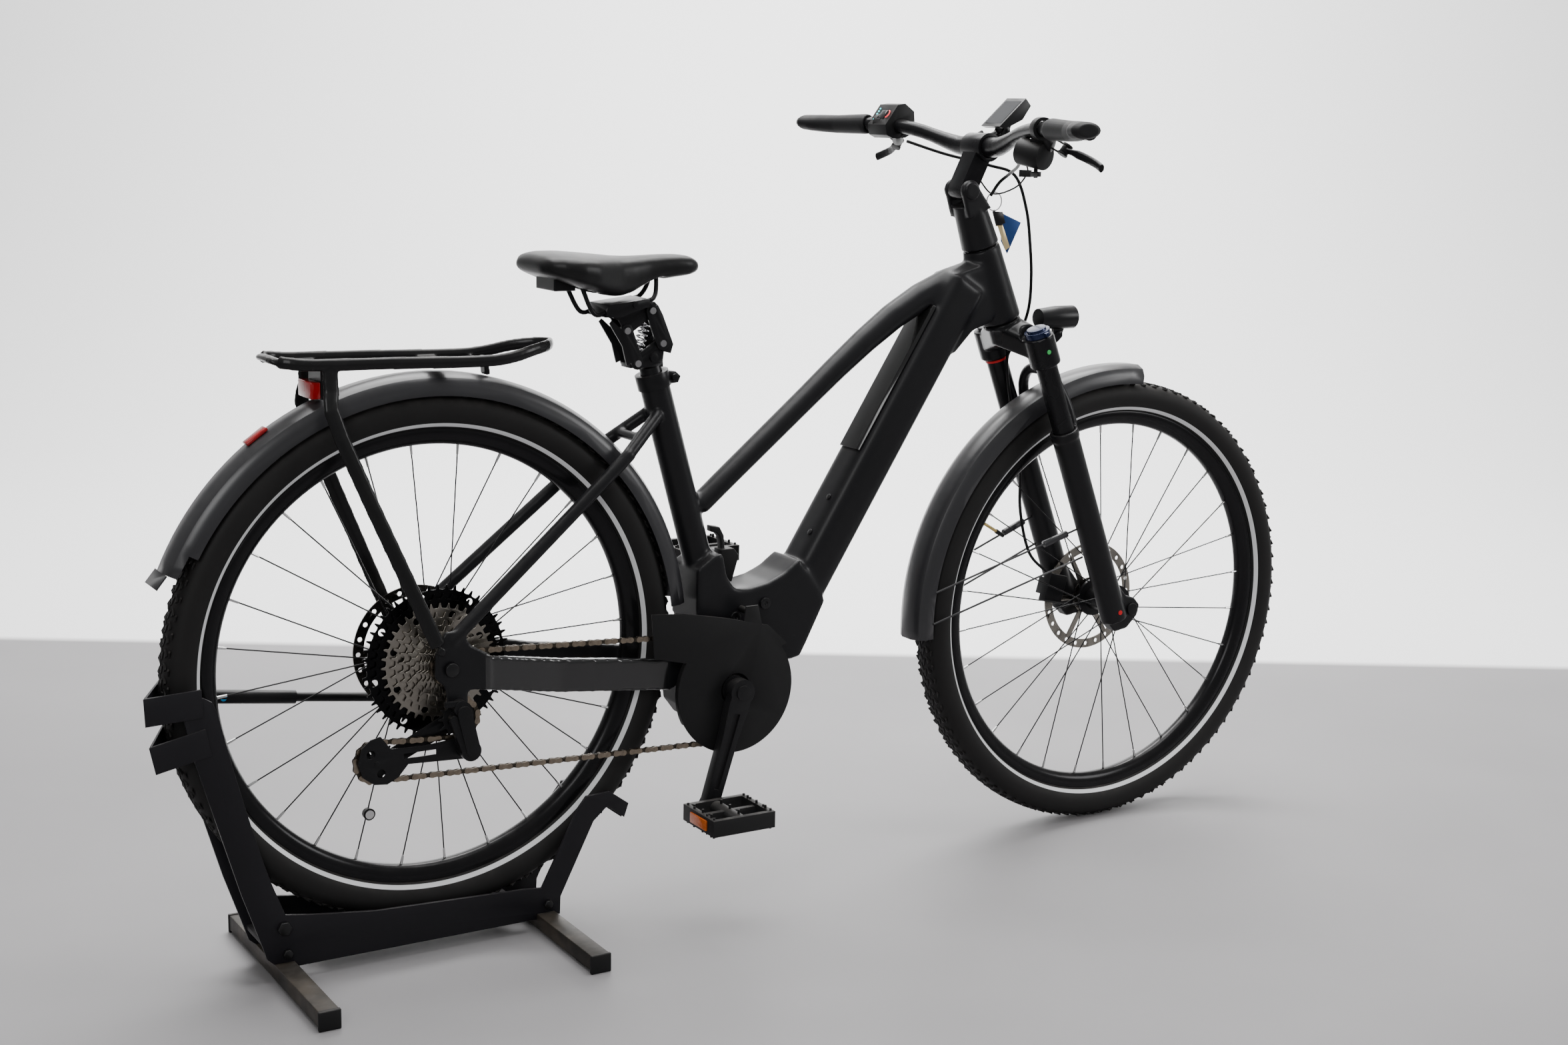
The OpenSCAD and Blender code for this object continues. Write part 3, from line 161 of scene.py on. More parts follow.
def finish_of(name, colour, roughness, metallic=0.0, coat=0.0, bump=0.05, depth=0.00006, shine=0.2, extra=None,
              **amounts):
    """A finish: the hard surface group on a Principled shader. extra(tree, colour) may paint over the colour."""
    material = bpy.data.materials.new(name)
    material.use_nodes = True
    tree = material.node_tree
    shader = tree.nodes["Principled BSDF"]
    shader.inputs["Metallic"].default_value = metallic
    shader.inputs["Specular IOR Level"].default_value = shine
    shader.inputs["Coat Weight"].default_value = coat
    shader.inputs["Coat Roughness"].default_value = 0.12
    surface = tree.nodes.new("ShaderNodeGroup")
    surface.node_tree = hard_surface
    surface.inputs["Colour"].default_value = (*colour, 1)
    surface.inputs["Roughness"].default_value = roughness
    for label, value in amounts.items():
        surface.inputs[label.replace("_", " ").title()].default_value = value
    painted = surface.outputs["Colour"]
    if extra:
        painted = extra(tree, painted)
    tree.links.new(painted, shader.inputs["Base Color"])
    tree.links.new(surface.outputs["Roughness"], shader.inputs["Roughness"])
    relief = tree.nodes.new("ShaderNodeBump")
    relief.inputs["Strength"].default_value = bump
    relief.inputs["Distance"].default_value = depth
    tree.links.new(surface.outputs["Height"], relief.inputs["Height"])
    tree.links.new(relief.outputs["Normal"], shader.inputs["Normal"])
    return material


def zone(tree, axis, low, high, soft=0.0005):
    """1 where the place along one axis (0, 1 or 2) lies between low and high, in metres."""
    split = tree.nodes.new("ShaderNodeSeparateXYZ")
    tree.links.new(object_place(tree), split.inputs[0])
    rise = calc(tree, "DIVIDE", calc(tree, "SUBTRACT", split.outputs[axis], low), soft)
    fall = calc(tree, "DIVIDE", calc(tree, "SUBTRACT", high, split.outputs[axis]), soft)
    both = calc(tree, "MINIMUM", rise, fall)
    return calc(tree, "MINIMUM", calc(tree, "MAXIMUM", both, 0.0), 1.0)


# ---- Pieces made over the CAD solids ----
# Cast, forged and moulded pieces keep their CAD shape but get the rounded edges and flowing corners of the
# real ones. bevelled() breaks sharp edges; flowing() melts a welded or moulded shape into one skin.
def linked(name, data):
    """A new object in the scene, standing at the origin."""
    piece = bpy.data.objects.new(name, data)
    scene.collection.objects.link(piece)
    return piece


def shaded(mesh, sharp_angle=38):
    """Smooth shading that breaks at edges sharper than the angle."""
    mesh.polygons.foreach_set("use_smooth", [True] * len(mesh.polygons))
    mesh.set_sharp_from_angle(angle=math.radians(sharp_angle))


def made_outward(mesh):
    """Joins points that coincide and turns every face outward."""
    work = bmesh.new()
    work.from_mesh(mesh)
    bmesh.ops.remove_doubles(work, verts=work.verts, dist=0.000001)
    bmesh.ops.recalc_face_normals(work, faces=work.faces)
    work.to_mesh(mesh)
    work.free()


def merged_copy(node, name):
    mesh = nodes[node].data.copy()
    mesh.name = name
    mesh.materials.clear()
    work = bmesh.new()
    work.from_mesh(mesh)
    bmesh.ops.remove_doubles(work, verts=work.verts, dist=0.00001)
    bmesh.ops.dissolve_degenerate(work, edges=work.edges, dist=0.00001)
    work.to_mesh(mesh)
    work.free()
    return linked(name, mesh)


def settle(piece, material, sharp_angle=38):
    """Applies the modifiers, gives the finish and smooth shading, and leaves one plain mesh."""
    bpy.context.view_layer.update()
    made = bpy.data.meshes.new_from_object(piece.evaluated_get(bpy.context.evaluated_depsgraph_get()))
    piece.modifiers.clear()
    piece.data = made
    if material:
        made.materials.clear()
        made.materials.append(material)
    shaded(made, sharp_angle)
    made.update()
    return piece


def bevelled(node, body, material, width=0.0008, segments=2, name=None, angle=32):
    piece = merged_copy(node, name or node + "_made")
    work = bmesh.new()
    work.from_mesh(piece.data)
    bmesh.ops.dissolve_limit(work, angle_limit=math.radians(1.0), verts=work.verts, edges=work.edges)
    work.to_mesh(piece.data)
    work.free()
    edge = piece.modifiers.new("broken_edges", "BEVEL")
    edge.width = width
    edge.segments = segments
    edge.limit_method = "ANGLE"
    edge.angle_limit = math.radians(angle)
    edge.use_clamp_overlap = True
    settle(piece, material)
    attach(piece, body)
    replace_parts(piece, node)
    return piece


def flowing(node, body, material, voxel, passes=4, name=None, factor=0.5, softer_from=None, softer=0):
    piece = merged_copy(node, name or node + "_made")
    skin = piece.modifiers.new("skin", "REMESH")
    skin.mode = "VOXEL"
    skin.voxel_size = voxel
    soften = piece.modifiers.new("soften", "SMOOTH")
    soften.iterations = passes
    soften.factor = factor
    settle(piece, material, 75)
    if softer_from is not None:
        front = piece.vertex_groups.new(name="front")
        for vertex in piece.data.vertices:
            if vertex.co.x > softer_from:
                front.add([vertex.index], min(1.0, (vertex.co.x - softer_from) / 0.03), "REPLACE")
        again = piece.modifiers.new("soften_front", "SMOOTH")
        again.iterations = softer
        again.factor = factor
        again.vertex_group = "front"
        settle(piece, material, 75)
        piece.vertex_groups.clear()
    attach(piece, body)
    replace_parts(piece, node)
    return piece


def piece_from(name, verts, faces, material=None, body=None, slot=None):
    """A closed mesh of these points and faces; with a body named, it is a finished piece of that body."""
    mesh = bpy.data.meshes.new(name)
    mesh.from_pydata([tuple(v) for v in verts], [], faces)
    made_outward(mesh)
    piece = linked(name, mesh)
    if material:
        mesh.materials.append(material)
    shaded(mesh)
    if body:
        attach(piece, body)
    return piece


def turned(profile, centre, steps):
    """Vertices and faces of a closed ring turned from (radius, along) pairs in mm about a line through centre."""
    verts, faces, count = [], [], len(profile)
    for i in range(steps):
        a = 2 * math.pi * i / steps
        for radius, along in profile:
            verts.append(centre + Vector((radius * math.cos(a), along, radius * math.sin(a))) / 1000)
    for i in range(steps):
        for j in range(count):
            a, b = i * count, (i + 1) % steps * count
            k = (j + 1) % count
            faces.append((a + j, b + j, b + k, a + k))
    return verts, faces


# ---- Loose cables ahead of the handlebar ----
# Rubber-covered brake hoses and the display's wire. Each leaves a control on the bar, bows forward and goes
# back into the bicycle: into the caliper at the fork's foot, or into the stem.
def curve_through(way, steps=9):
    """Smooth line through the way points, as the CAD solids follow it."""
    points = []
    for i in range(len(way) - 1):
        a, b = way[max(i - 1, 0)], way[i]
        c, d = way[i + 1], way[min(i + 2, len(way) - 1)]
        for s in range(steps if i < len(way) - 2 else steps + 1):
            t = s / steps
            points.append(0.5 * (2 * b + (c - a) * t + (2 * a - 5 * b + 4 * c - d) * t * t
                                 + (3 * b - a - 3 * c + d) * t * t * t))
    return points


def tube_along(name, line, radius, material):
    """A round bar swept along a line of points, closed at both ends, as a plain mesh."""
    data = bpy.data.curves.new(name + "_way", "CURVE")
    data.dimensions = "3D"
    spline = data.splines.new("POLY")
    spline.points.add(len(line) - 1)
    for point, spot in zip(spline.points, line):
        point.co = (*spot, 1)
    data.bevel_depth = radius
    data.bevel_resolution = 3
    data.use_fill_caps = True
    way = linked(name + "_way", data)
    bpy.context.view_layer.update()
    mesh = bpy.data.meshes.new_from_object(way.evaluated_get(bpy.context.evaluated_depsgraph_get()))
    bpy.data.objects.remove(way)
    made_outward(mesh)
    mesh.name = name
    mesh.materials.clear()
    mesh.materials.append(material)
    shaded(mesh, 50)
    return linked(name, mesh)


cable_black = finish_of("cable_black", (0.006, 0.006, 0.0065), 0.42, dust=0.05, grain_scale=900)
CABLES = {  # radius, the two bodies it runs between, route
    "front_brake_hose": (2.5, ("steering", "lower_fork"), [
        (870, 150, 1108), (905, 95, 1090), (942, 30, 1075), (975, 6, 1060), (1000, 6, 1008), (1012, 8, 950),
        (1018, 10, 900), (1021, 18, 850), (1014, 34, 800), (1002, 43, 770), (1010, 40, 700), (1034, 41, 600),
        (1040, 42, 520), (1060, 40, 450), (1094, 36, 416)]),
    "rear_brake_hose": (2.5, ("cockpit", "steering"), [
        (866, -148, 1094), (900, -100, 1078), (925, -46, 1064), (926, -20, 1050), (918, -10, 1030)]),
    "display_wire": (1.3, ("cockpit", "steering"), [
        (958, -28, 1088), (972, -30, 1070), (962, -24, 1048), (944, -14, 1036), (932, -1, 1032.3), (928, 12, 1037),
        (916, 20, 1056)]),
}
for cable, (radius, bodies, route) in CABLES.items():
    line = curve_through([at(*p) for p in route])
    sheath = tube_along(cable, line, radius / 1000, cable_black)
    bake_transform(sheath)
    if cable == "front_brake_hose":
        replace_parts(sheath, "bar_cables")

# ---- Rings of repeated shapes ----
# Spokes, tyre blocks and bolts sit in rings about an axle. This tree turns what it is given about a line
# along Y through Centre, Count times.
ring_tree, given, result = group_of("ring_of_shapes", [
    ("Geometry", "NodeSocketGeometry", None), ("Count", "NodeSocketInt", 8), ("Start", "NodeSocketFloat", 0.0),
    ("Centre", "NodeSocketVector", (0, 0, 0)), ("Material", "NodeSocketMaterial", None)],
    [("Geometry", "NodeSocketGeometry")], "GeometryNodeTree")
spots = ring_tree.nodes.new("GeometryNodeMeshLine")
ring_tree.links.new(given.outputs["Count"], spots.inputs["Count"])
spots.inputs["Offset"].default_value = (0, 0, 0)
index = ring_tree.nodes.new("GeometryNodeInputIndex").outputs[0]
share = calc(ring_tree, "DIVIDE", index, given.outputs["Count"])
angle = calc(ring_tree, "ADD", calc(ring_tree, "MULTIPLY", share, 2 * math.pi), given.outputs["Start"])
euler = ring_tree.nodes.new("ShaderNodeCombineXYZ")
ring_tree.links.new(angle, euler.inputs["Y"])
placed = ring_tree.nodes.new("GeometryNodeInstanceOnPoints")
ring_tree.links.new(spots.outputs[0], placed.inputs["Points"])
ring_tree.links.new(given.outputs["Geometry"], placed.inputs["Instance"])
ring_tree.links.new(euler.outputs[0], placed.inputs["Rotation"])
real = ring_tree.nodes.new("GeometryNodeRealizeInstances")
ring_tree.links.new(placed.outputs[0], real.inputs[0])
moved = ring_tree.nodes.new("GeometryNodeTransform")
ring_tree.links.new(real.outputs[0], moved.inputs["Geometry"])
ring_tree.links.new(given.outputs["Centre"], moved.inputs["Translation"])
dressed = ring_tree.nodes.new("GeometryNodeSetMaterial")
ring_tree.links.new(moved.outputs[0], dressed.inputs["Geometry"])
ring_tree.links.new(given.outputs["Material"], dressed.inputs["Material"])
ring_tree.links.new(dressed.outputs[0], result.inputs[0])


def grown(name, verts, faces, tree, values):
    """One shape put through a geometry tree and left as a plain mesh."""
    seed = piece_from(name, verts, faces)
    run = seed.modifiers.new("grown", "NODES")
    run.node_group = tree
    for item in tree.interface.items_tree:
        if item.in_out == "INPUT" and item.name in values:
            run[item.identifier] = values[item.name]
    return settle(seed, None)


def joined(name, parts, body):
    """Several plain meshes of one finish as one piece."""
    work = bmesh.new()
    for part in parts:
        work.from_mesh(part.data)
    mesh = bpy.data.meshes.new(name)
    work.to_mesh(mesh)
    work.free()
    mesh.materials.append(next(m for m in parts[0].data.materials if m))
    for part in parts:
        bpy.data.objects.remove(part)
    mesh.polygons.foreach_set("material_index", [0] * len(mesh.polygons))
    shaded(mesh)
    piece = linked(name, mesh)
    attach(piece, body)
    return piece


# ---- Tyres ----
# Moulded black rubber with a white reflecting stripe on each side wall, fine moulded lines near the bead and
# a tread of slanted blocks: a split middle row, two inner rows and a row on each shoulder.
WHEELS = {"rear": (at(0, 0, 410.5), "rear_wheel"), "front": (at(1186, 0, 366), "front_wheel")}
SIDE_WALL = [(309, 9.6), (309.5, 12.4), (315.5, 13), (318.5, 16.5), (322, 20.6), (327, 24.2), (333, 26.8),
             (340, 28), (347, 27.5), (353, 25.4), (357.4, 22), (360.6, 17.4), (362.9, 11.5), (364.1, 5.5), (364.4, 0)]
CAVITY = [(360.5, 0), (359.6, 8), (355, 17), (348, 22.6), (340, 24), (331, 21.4), (323, 14.6), (317, 9.4)]
tyre_profile = (SIDE_WALL + [(r, -y) for r, y in SIDE_WALL[-2::-1]]
                + [(r, -y) for r, y in CAVITY[::-1]] + CAVITY[1:])


STRIPE, STRIPE_EDGE = (0.3192, 0.3247), 0.0003  # inner and outer radius of the stripe, and its soft edge


def tyre_finish(hub):
    def stripes(tree, painted):
        away = tree.nodes.new("ShaderNodeVectorMath")
        away.operation = "SUBTRACT"
        tree.links.new(object_place(tree), away.inputs[0])
        away.inputs[1].default_value = hub
        flat = tree.nodes.new("ShaderNodeVectorMath")
        flat.operation = "MULTIPLY"
        flat.inputs[1].default_value = (1, 0, 1)
        tree.links.new(away.outputs[0], flat.inputs[0])
        size = tree.nodes.new("ShaderNodeVectorMath")
        size.operation = "LENGTH"
        tree.links.new(flat.outputs[0], size.inputs[0])
        radius = size.outputs["Value"]
        rise = calc(tree, "DIVIDE", calc(tree, "SUBTRACT", radius, STRIPE[0]), STRIPE_EDGE)
        fall = calc(tree, "DIVIDE", calc(tree, "SUBTRACT", STRIPE[1], radius), STRIPE_EDGE)
        band = calc(tree, "MINIMUM", calc(tree, "MAXIMUM", calc(tree, "MINIMUM", rise, fall), 0.0), 1.0)
        scuffed = calc(tree, "MULTIPLY", band, 0.96)
        return blend_colour(tree, scuffed, painted, (0.78, 0.79, 0.8, 1))
    return stripes


BLOCK_ROWS = [  # along the tread, across it, height, place across, slant, pieces round, start
    (13.0, 3.9, 1.3, 3.2, 22, 128, 0.0), (13.0, 3.9, 1.3, -3.2, -22, 128, 0.0245),
    (11.0, 6.4, 1.3, 10.6, -36, 128, 0.012), (11.0, 6.4, 1.3, -10.6, 36, 128, 0.037),
    (9.0, 6.2, 1.1, 17.8, 24, 96, 0.03), (9.0, 6.2, 1.1, -17.8, -24, 96, 0.004)]
for end, (hub, body) in WHEELS.items():
    rubber = finish_of(end + "_tyre_rubber", (0.0105, 0.01, 0.01), 0.6, colour_change=0.35, roughness_change=0.1,
                       patch_scale=14, grain_scale=700, dust=0.22, bump=0.18, depth=0.0002, extra=tyre_finish(hub))
    verts, faces = turned(tyre_profile, hub, 192)
    carcass = piece_from(end + "_tyre_carcass", verts, faces, rubber, body, "tyre_rubber")
    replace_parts(carcass, end + "_tyre")
    rows = []
    for i, (long, wide, high, across, slant, count, start) in enumerate(BLOCK_ROWS):
        walls = [(abs(y), r) for r, y in SIDE_WALL if r > 350][::-1]
        base = next(r0 + (r1 - r0) * (abs(across) - y0) / (y1 - y0) for (y0, r0), (y1, r1) in zip(walls, walls[1:])
                    if y0 <= abs(across) <= y1)
        slope = math.atan((abs(across) / 28) ** 2.2 * 1.15) * (1 if across > 0 else -1)
        tilt, skew = Matrix.Rotation(-slope, 3, "Z"), Matrix.Rotation(math.radians(slant), 3, "X")
        verts = []
        for level, cut in ((-1.2, 0.0), (high * 0.8, 0.1), (high, 0.5)):
            for dz, dy in ((-1, -1), (1, -1), (1, 1), (-1, 1)):
                spot = Vector((level, dy * (wide / 2 - cut), dz * (long / 2 - cut)))
                spot = tilt @ (skew @ spot)
                verts.append(Vector((base - 0.2 + spot.x, across + spot.y, spot.z)) / 1000)
        faces = [(3, 2, 1, 0), (8, 9, 10, 11)]
        for level in (0, 4):
            faces += [(level + j, level + (j + 1) % 4, level + 4 + (j + 1) % 4, level + 4 + j) for j in range(4)]
        rows.append(grown(f"{end}_blocks_{i}", verts, faces, ring_tree,
                          {"Count": count, "Start": start, "Centre": hub, "Material": rubber}))
    joined(end + "_tyre_tread", rows, body)

# ---- Rims ----
# Black anodised aluminium box rims with rounded flanks and a machined seam, each with a tube valve whose
# threaded brass stem carries a black cap.
rim_black = finish_of("rim_black", (0.012, 0.012, 0.013), 0.22, metallic=0.5, dust=0.12, patch_scale=20,
                      roughness_change=0.06)
RIM_SECTION = [(294, 0), (294.2, 4), (295.5, 7.4), (299, 11), (303, 13.1), (308, 14.4), (315.5, 15.1), (316.4, 14.6),
               (316.4, 13.3), (309, 12.9), (305.2, 9), (304.6, 0)]
rim_profile = RIM_SECTION + [(r, -y) for r, y in RIM_SECTION[-2:0:-1]]
valve_brass = finish_of("valve_brass", (0.62, 0.47, 0.2), 0.3, metallic=1.0)
cap_black = finish_of("cap_black", (0.009, 0.009, 0.009), 0.4)


def rod_mesh(a, b, radius, sides=12, radius_b=None):
    """Vertices and faces of a closed round bar from a to b, in metres."""
    along = (b - a).normalized()
    across = along.orthogonal().normalized()
    other = along.cross(across)
    verts = []
    for end_point, size in ((a, radius), (b, radius if radius_b is None else radius_b)):
        for j in range(sides):
            t = 2 * math.pi * j / sides
            verts.append(end_point + (across * math.cos(t) + other * math.sin(t)) * size)
    faces = [tuple(range(sides))[::-1], tuple(range(sides, 2 * sides))]
    faces += [(j, (j + 1) % sides, sides + (j + 1) % sides, sides + j) for j in range(sides)]
    return verts, faces


VALVES = {"rear": -12, "front": 149}
for end, (hub, body) in WHEELS.items():
    verts, faces = turned(rim_profile, hub, 160)
    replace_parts(piece_from(end + "_rim_hoop", verts, faces, rim_black, body, "rim_black"), end + "_rim")
    a = math.radians(VALVES[end])
    out = Vector((math.cos(a), 0, math.sin(a)))
    piece_from(end + "_valve_stem", *rod_mesh(hub + out * 0.262, hub + out * 0.2945, 0.0026), valve_brass, body,
               "rim_black")
    piece_from(end + "_valve_cap", *rod_mesh(hub + out * 0.246, hub + out * 0.263, 0.0032, 14, 0.0038), cap_black,
               body, "rim_black")

# ---- Spokes and hubs ----
# Twenty-eight black steel spokes a wheel, crossed in pairs from two flanges, screwed into silver-tipped
# nipples in the rim. The hub shell is turned from aluminium.
spoke_black = finish_of("spoke_black", (0.01, 0.01, 0.011), 0.35, metallic=0.3)
nipple_silver = finish_of("nipple_silver", (0.6, 0.6, 0.6), 0.25, metallic=1.0)
hub_black = finish_of("hub_black", (0.012, 0.012, 0.013), 0.3, metallic=0.5, dust=0.1)
FLANGES = {"rear": (-18.5, 35.5), "front": (-30.5, 24.5)}
HUB_SHELL = {
    "rear": [(13, -26), (13, -22), (31, -21), (31.5, -18.5), (31, -16), (19, -14), (17, 0), (17, 20), (19, 31),
             (31, 33), (31.5, 35.5), (31, 38), (20, 39), (20, 49), (15, 49), (13, 69), (6.1, 69), (6.1, -26)],
    "front": [(13, -50), (14, -46), (14, -36), (19, -34), (31, -33), (31.5, -30.5), (31, -28), (20, -25), (18, -3),
              (20, 20), (31, 22), (31.5, 24.5), (31, 27), (20, 29), (19, 38), (14, 39), (13, 50), (6.1, 50),
              (6.1, -50)]}
SPOKES = 28
for end, (hub, body) in WHEELS.items():
    wires, tips = [], []
    for side, flange in enumerate(FLANGES[end]):
        for lean in (1, -1):
            first = 0 if lean > 0 else 1
            phase = math.radians(360 / SPOKES * (2 * first + side) + 4)
            tip = Vector((293.9, (2 if side else -2), 0)) / 1000
            swing = math.radians(38) * lean
            root = Vector((26 * math.cos(swing), flange + 1.2 * lean, 26 * math.sin(swing))) / 1000
            values = {"Count": SPOKES // 4, "Start": -phase, "Centre": hub, "Material": spoke_black}
            wires.append(grown(f"{end}_wire_{side}{first}", *rod_mesh(root, tip, 0.001, 8), ring_tree, values))
            inner = tip + (root - tip).normalized() * 0.013
            values["Material"] = nipple_silver
            tips.append(grown(f"{end}_tip_{side}{first}", *rod_mesh(inner, tip, 0.0017, 8, 0.0021), ring_tree,
                              values))
    laced = joined(end + "_spoke_wires", wires, body)
    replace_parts(laced, end + "_spokes")
    joined(end + "_spoke_nipples", tips, body)
    verts, faces = turned(HUB_SHELL[end], hub, 64)
    piece_from(end + "_hub_shell", verts, faces, hub_black, body, "spoke_steel")

# A speed magnet in a silver-faced plastic clip is screwed to one left spoke of the rear wheel.
a = math.radians(-112)
hub = WHEELS["rear"][0]
clip = hub + Vector((0.2315 * math.cos(a), 0.0062, 0.2315 * math.sin(a)))
piece_from("spoke_magnet_clip", *rod_mesh(clip - Vector((0, 0.001, 0)), clip + Vector((0, 0.0075, 0)), 0.0085, 24,
                                          0.0078), cap_black, "rear_wheel", "spoke_steel")
piece_from("spoke_magnet_face", *rod_mesh(clip - Vector((0, 0.0022, 0)), clip - Vector((0, 0.0008, 0)), 0.0062, 24),
           nipple_silver, "rear_wheel", "spoke_steel")

# ---- Brake discs ----
# Stamped stainless steel, ground on both faces where the pads run, bolted to the hubs.
disc_steel = finish_of("disc_steel", (0.24, 0.225, 0.2), 0.24, metallic=1.0, roughness_change=0.12, patch_scale=30)
for end, (hub, body) in WHEELS.items():
    bevelled(end + "_rotor", body, disc_steel, 0.0003, 1, end + "_brake_disc")

# ---- Frame ----
# One-piece welded and smoothed aluminium frame in matt black paint, with a wide battery tube, an arched top
# tube and slim stays. The stay beside the chain has a clear glossy guard film.
def guard_film(tree, painted):
    along = zone(tree, 0, REAR_AXLE_X + 0.05, REAR_AXLE_X + 0.345)
    height = zone(tree, 2, 0.33, 0.425)
    side = zone(tree, 1, -0.095, -0.036)
    mask = calc(tree, "MULTIPLY", calc(tree, "MULTIPLY", along, height), side)
    shader = tree.nodes["Principled BSDF"]
    tree.links.new(mask, shader.inputs["Coat Weight"])
    return blend_colour(tree, mask, painted, (0.006, 0.006, 0.0065, 1))


frame_paint = finish_of("frame_paint", (0.009, 0.009, 0.0102), 0.34, colour_change=0.12, roughness_change=0.05,
                        patch_scale=7, dust=0.1, grain_scale=2600, bump=0.12, extra=guard_film)
plain_paint = finish_of("plain_paint", (0.009, 0.009, 0.0102), 0.34, colour_change=0.12, roughness_change=0.05,
                        patch_scale=7, dust=0.1, grain_scale=2600, bump=0.12)
flowing("frame", "bicycle_frame", frame_paint, 0.0026, 6, "frame_tubes",
        softer_from=REAR_AXLE_X + 0.4, softer=28)
fastener_black = finish_of("fastener_black", (0.03, 0.03, 0.031), 0.28, metallic=0.8)
bevelled("frame_bolts", "bicycle_frame", fastener_black, 0.0005, 2, "frame_screws")

# ---- Battery cover ----
# High-gloss black moulding clipped over the battery in the down tube.
cover_gloss = finish_of("cover_gloss", (0.006, 0.006, 0.0065), 0.09, coat=0.7, roughness_change=0.02, dust=0.12)
bevelled("battery_cover", "bicycle_frame", cover_gloss, 0.0012, 3, "battery_lid")

# ---- Motor, chain guard and clamps ----
# The motor and its covers are moulded in matt black plastic with a fine spark-eroded grain; the seat clamp
# is anodised aluminium.
drive_plastic = finish_of("drive_plastic", (0.0085, 0.0085, 0.009), 0.46, dust=0.2, grain_scale=900, bump=0.25,
                          depth=0.0001, roughness_change=0.08)
flowing("motor", "bicycle_frame", drive_plastic, 0.002, 5, "motor_housing")
bevelled("chain_guard", "bicycle_frame", drive_plastic, 0.0009, 2, "chain_guard_disc")
bevelled("lock_bracket", "bicycle_frame", drive_plastic, 0.0025, 3, "lock_holder")
anodised_black = finish_of("anodised_black", (0.011, 0.011, 0.012), 0.3, metallic=0.3, dust=0.12,
                           roughness_change=0.07)
bevelled("seat_clamp", "bicycle_frame", anodised_black, 0.0008, 2, "seat_collar")
bevelled("rear_axle", "bicycle_frame", fastener_black, 0.0008, 2, "rear_axle_bolt")
bevelled("kickstand_mount", "bicycle_frame", anodised_black, 0.0015, 2, "kickstand_bracket")
bevelled("rear_brake", "bicycle_frame", anodised_black, 0.0018, 3, "rear_caliper")

# ---- Rear rack, mudguards and lights ----
# The rack is bent from satin black oval tube. The mudguards are satin grey-black plastic blades, and the
# lamps are red moulded lenses over a black tray.
rack_black = finish_of("rack_black", (0.012, 0.012, 0.0125), 0.24, metallic=0.2, dust=0.22)
flowing("rack", "bicycle_frame", rack_black, 0.0016, 4, "rack_tubes")
mudguard_grey = finish_of("mudguard_grey", (0.022, 0.022, 0.0245), 0.3, shine=0.5, dust=0.2, roughness_change=0.06,
                          patch_scale=12)
bevelled("rear_mudguard", "bicycle_frame", mudguard_grey, 0.0004, 1, "rear_mudguard_blade")
bevelled("front_mudguard", "lower_fork", mudguard_grey, 0.0004, 1, "front_mudguard_blade")
lens_red = finish_of("lens_red", (0.3, 0.006, 0.008), 0.16, coat=0.5, roughness_change=0.03, patch_scale=160,
                     colour_change=0.4)
bevelled("rear_lights", "bicycle_frame", lens_red, 0.0018, 3, "rear_lamp_lenses")

# ---- Chain ----
# Narrow steel chain: pinned plates round bushed rollers, bronze-grey with oil. Outer and inner links
# alternate along a path that wraps the chain ring, the small sprocket and both pulley wheels.
chain_steel = finish_of("chain_steel", (0.24, 0.2, 0.155), 0.32, metallic=1.0, colour_change=0.5,
                        roughness_change=0.15, patch_scale=160)
oiled_steel = finish_of("oiled_steel", (0.05, 0.042, 0.032), 0.4, metallic=0.9, colour_change=0.4,
                        roughness_change=0.15, patch_scale=160)
PITCH = 12.7


def pitch_radius(teeth):
    return PITCH / 2 / math.sin(math.pi / teeth)


RUN = [((0.0, 410.5), pitch_radius(10), -66.0), ((446.0, 324.0), pitch_radius(40), -55.0),
       ((-104.0, 293.0), pitch_radius(13), -66.0), ((16.0, 338.0), -pitch_radius(13), -66.0)]


def lie(i):
    (ax, az), ar, _ = RUN[i % 4]
    (bx, bz), br, _ = RUN[(i + 1) % 4]
    return math.atan2(bz - az, bx - ax) + math.acos((ar - br) / math.hypot(bx - ax, bz - az))


chain_line = []
for i in (1, 2, 3, 0):
    (cx, cz), radius, y = RUN[i]
    first, last = lie(i + 3), lie(i)
    sense = 1 if radius > 0 else -1
    sweep = (last - first) * sense % (2 * math.pi) - 2 * math.pi
    for k in range(25):
        a = first + sense * sweep * k / 24
        chain_line.append(at(cx + radius * math.cos(a), y, cz + radius * math.sin(a)))
path_data = bpy.data.curves.new("chain_path", "CURVE")
path_data.dimensions = "3D"
spline = path_data.splines.new("POLY")
spline.points.add(len(chain_line) - 1)
for point, spot in zip(spline.points, chain_line):
    point.co = (*spot, 1)
spline.use_cyclic_u = True
chain_path = linked("chain_path", path_data)
chain_length = sum((b - a).length for a, b in zip(chain_line, chain_line[1:] + chain_line[:1]))
LINKS = round(chain_length * 1000 / PITCH / 2) * 2

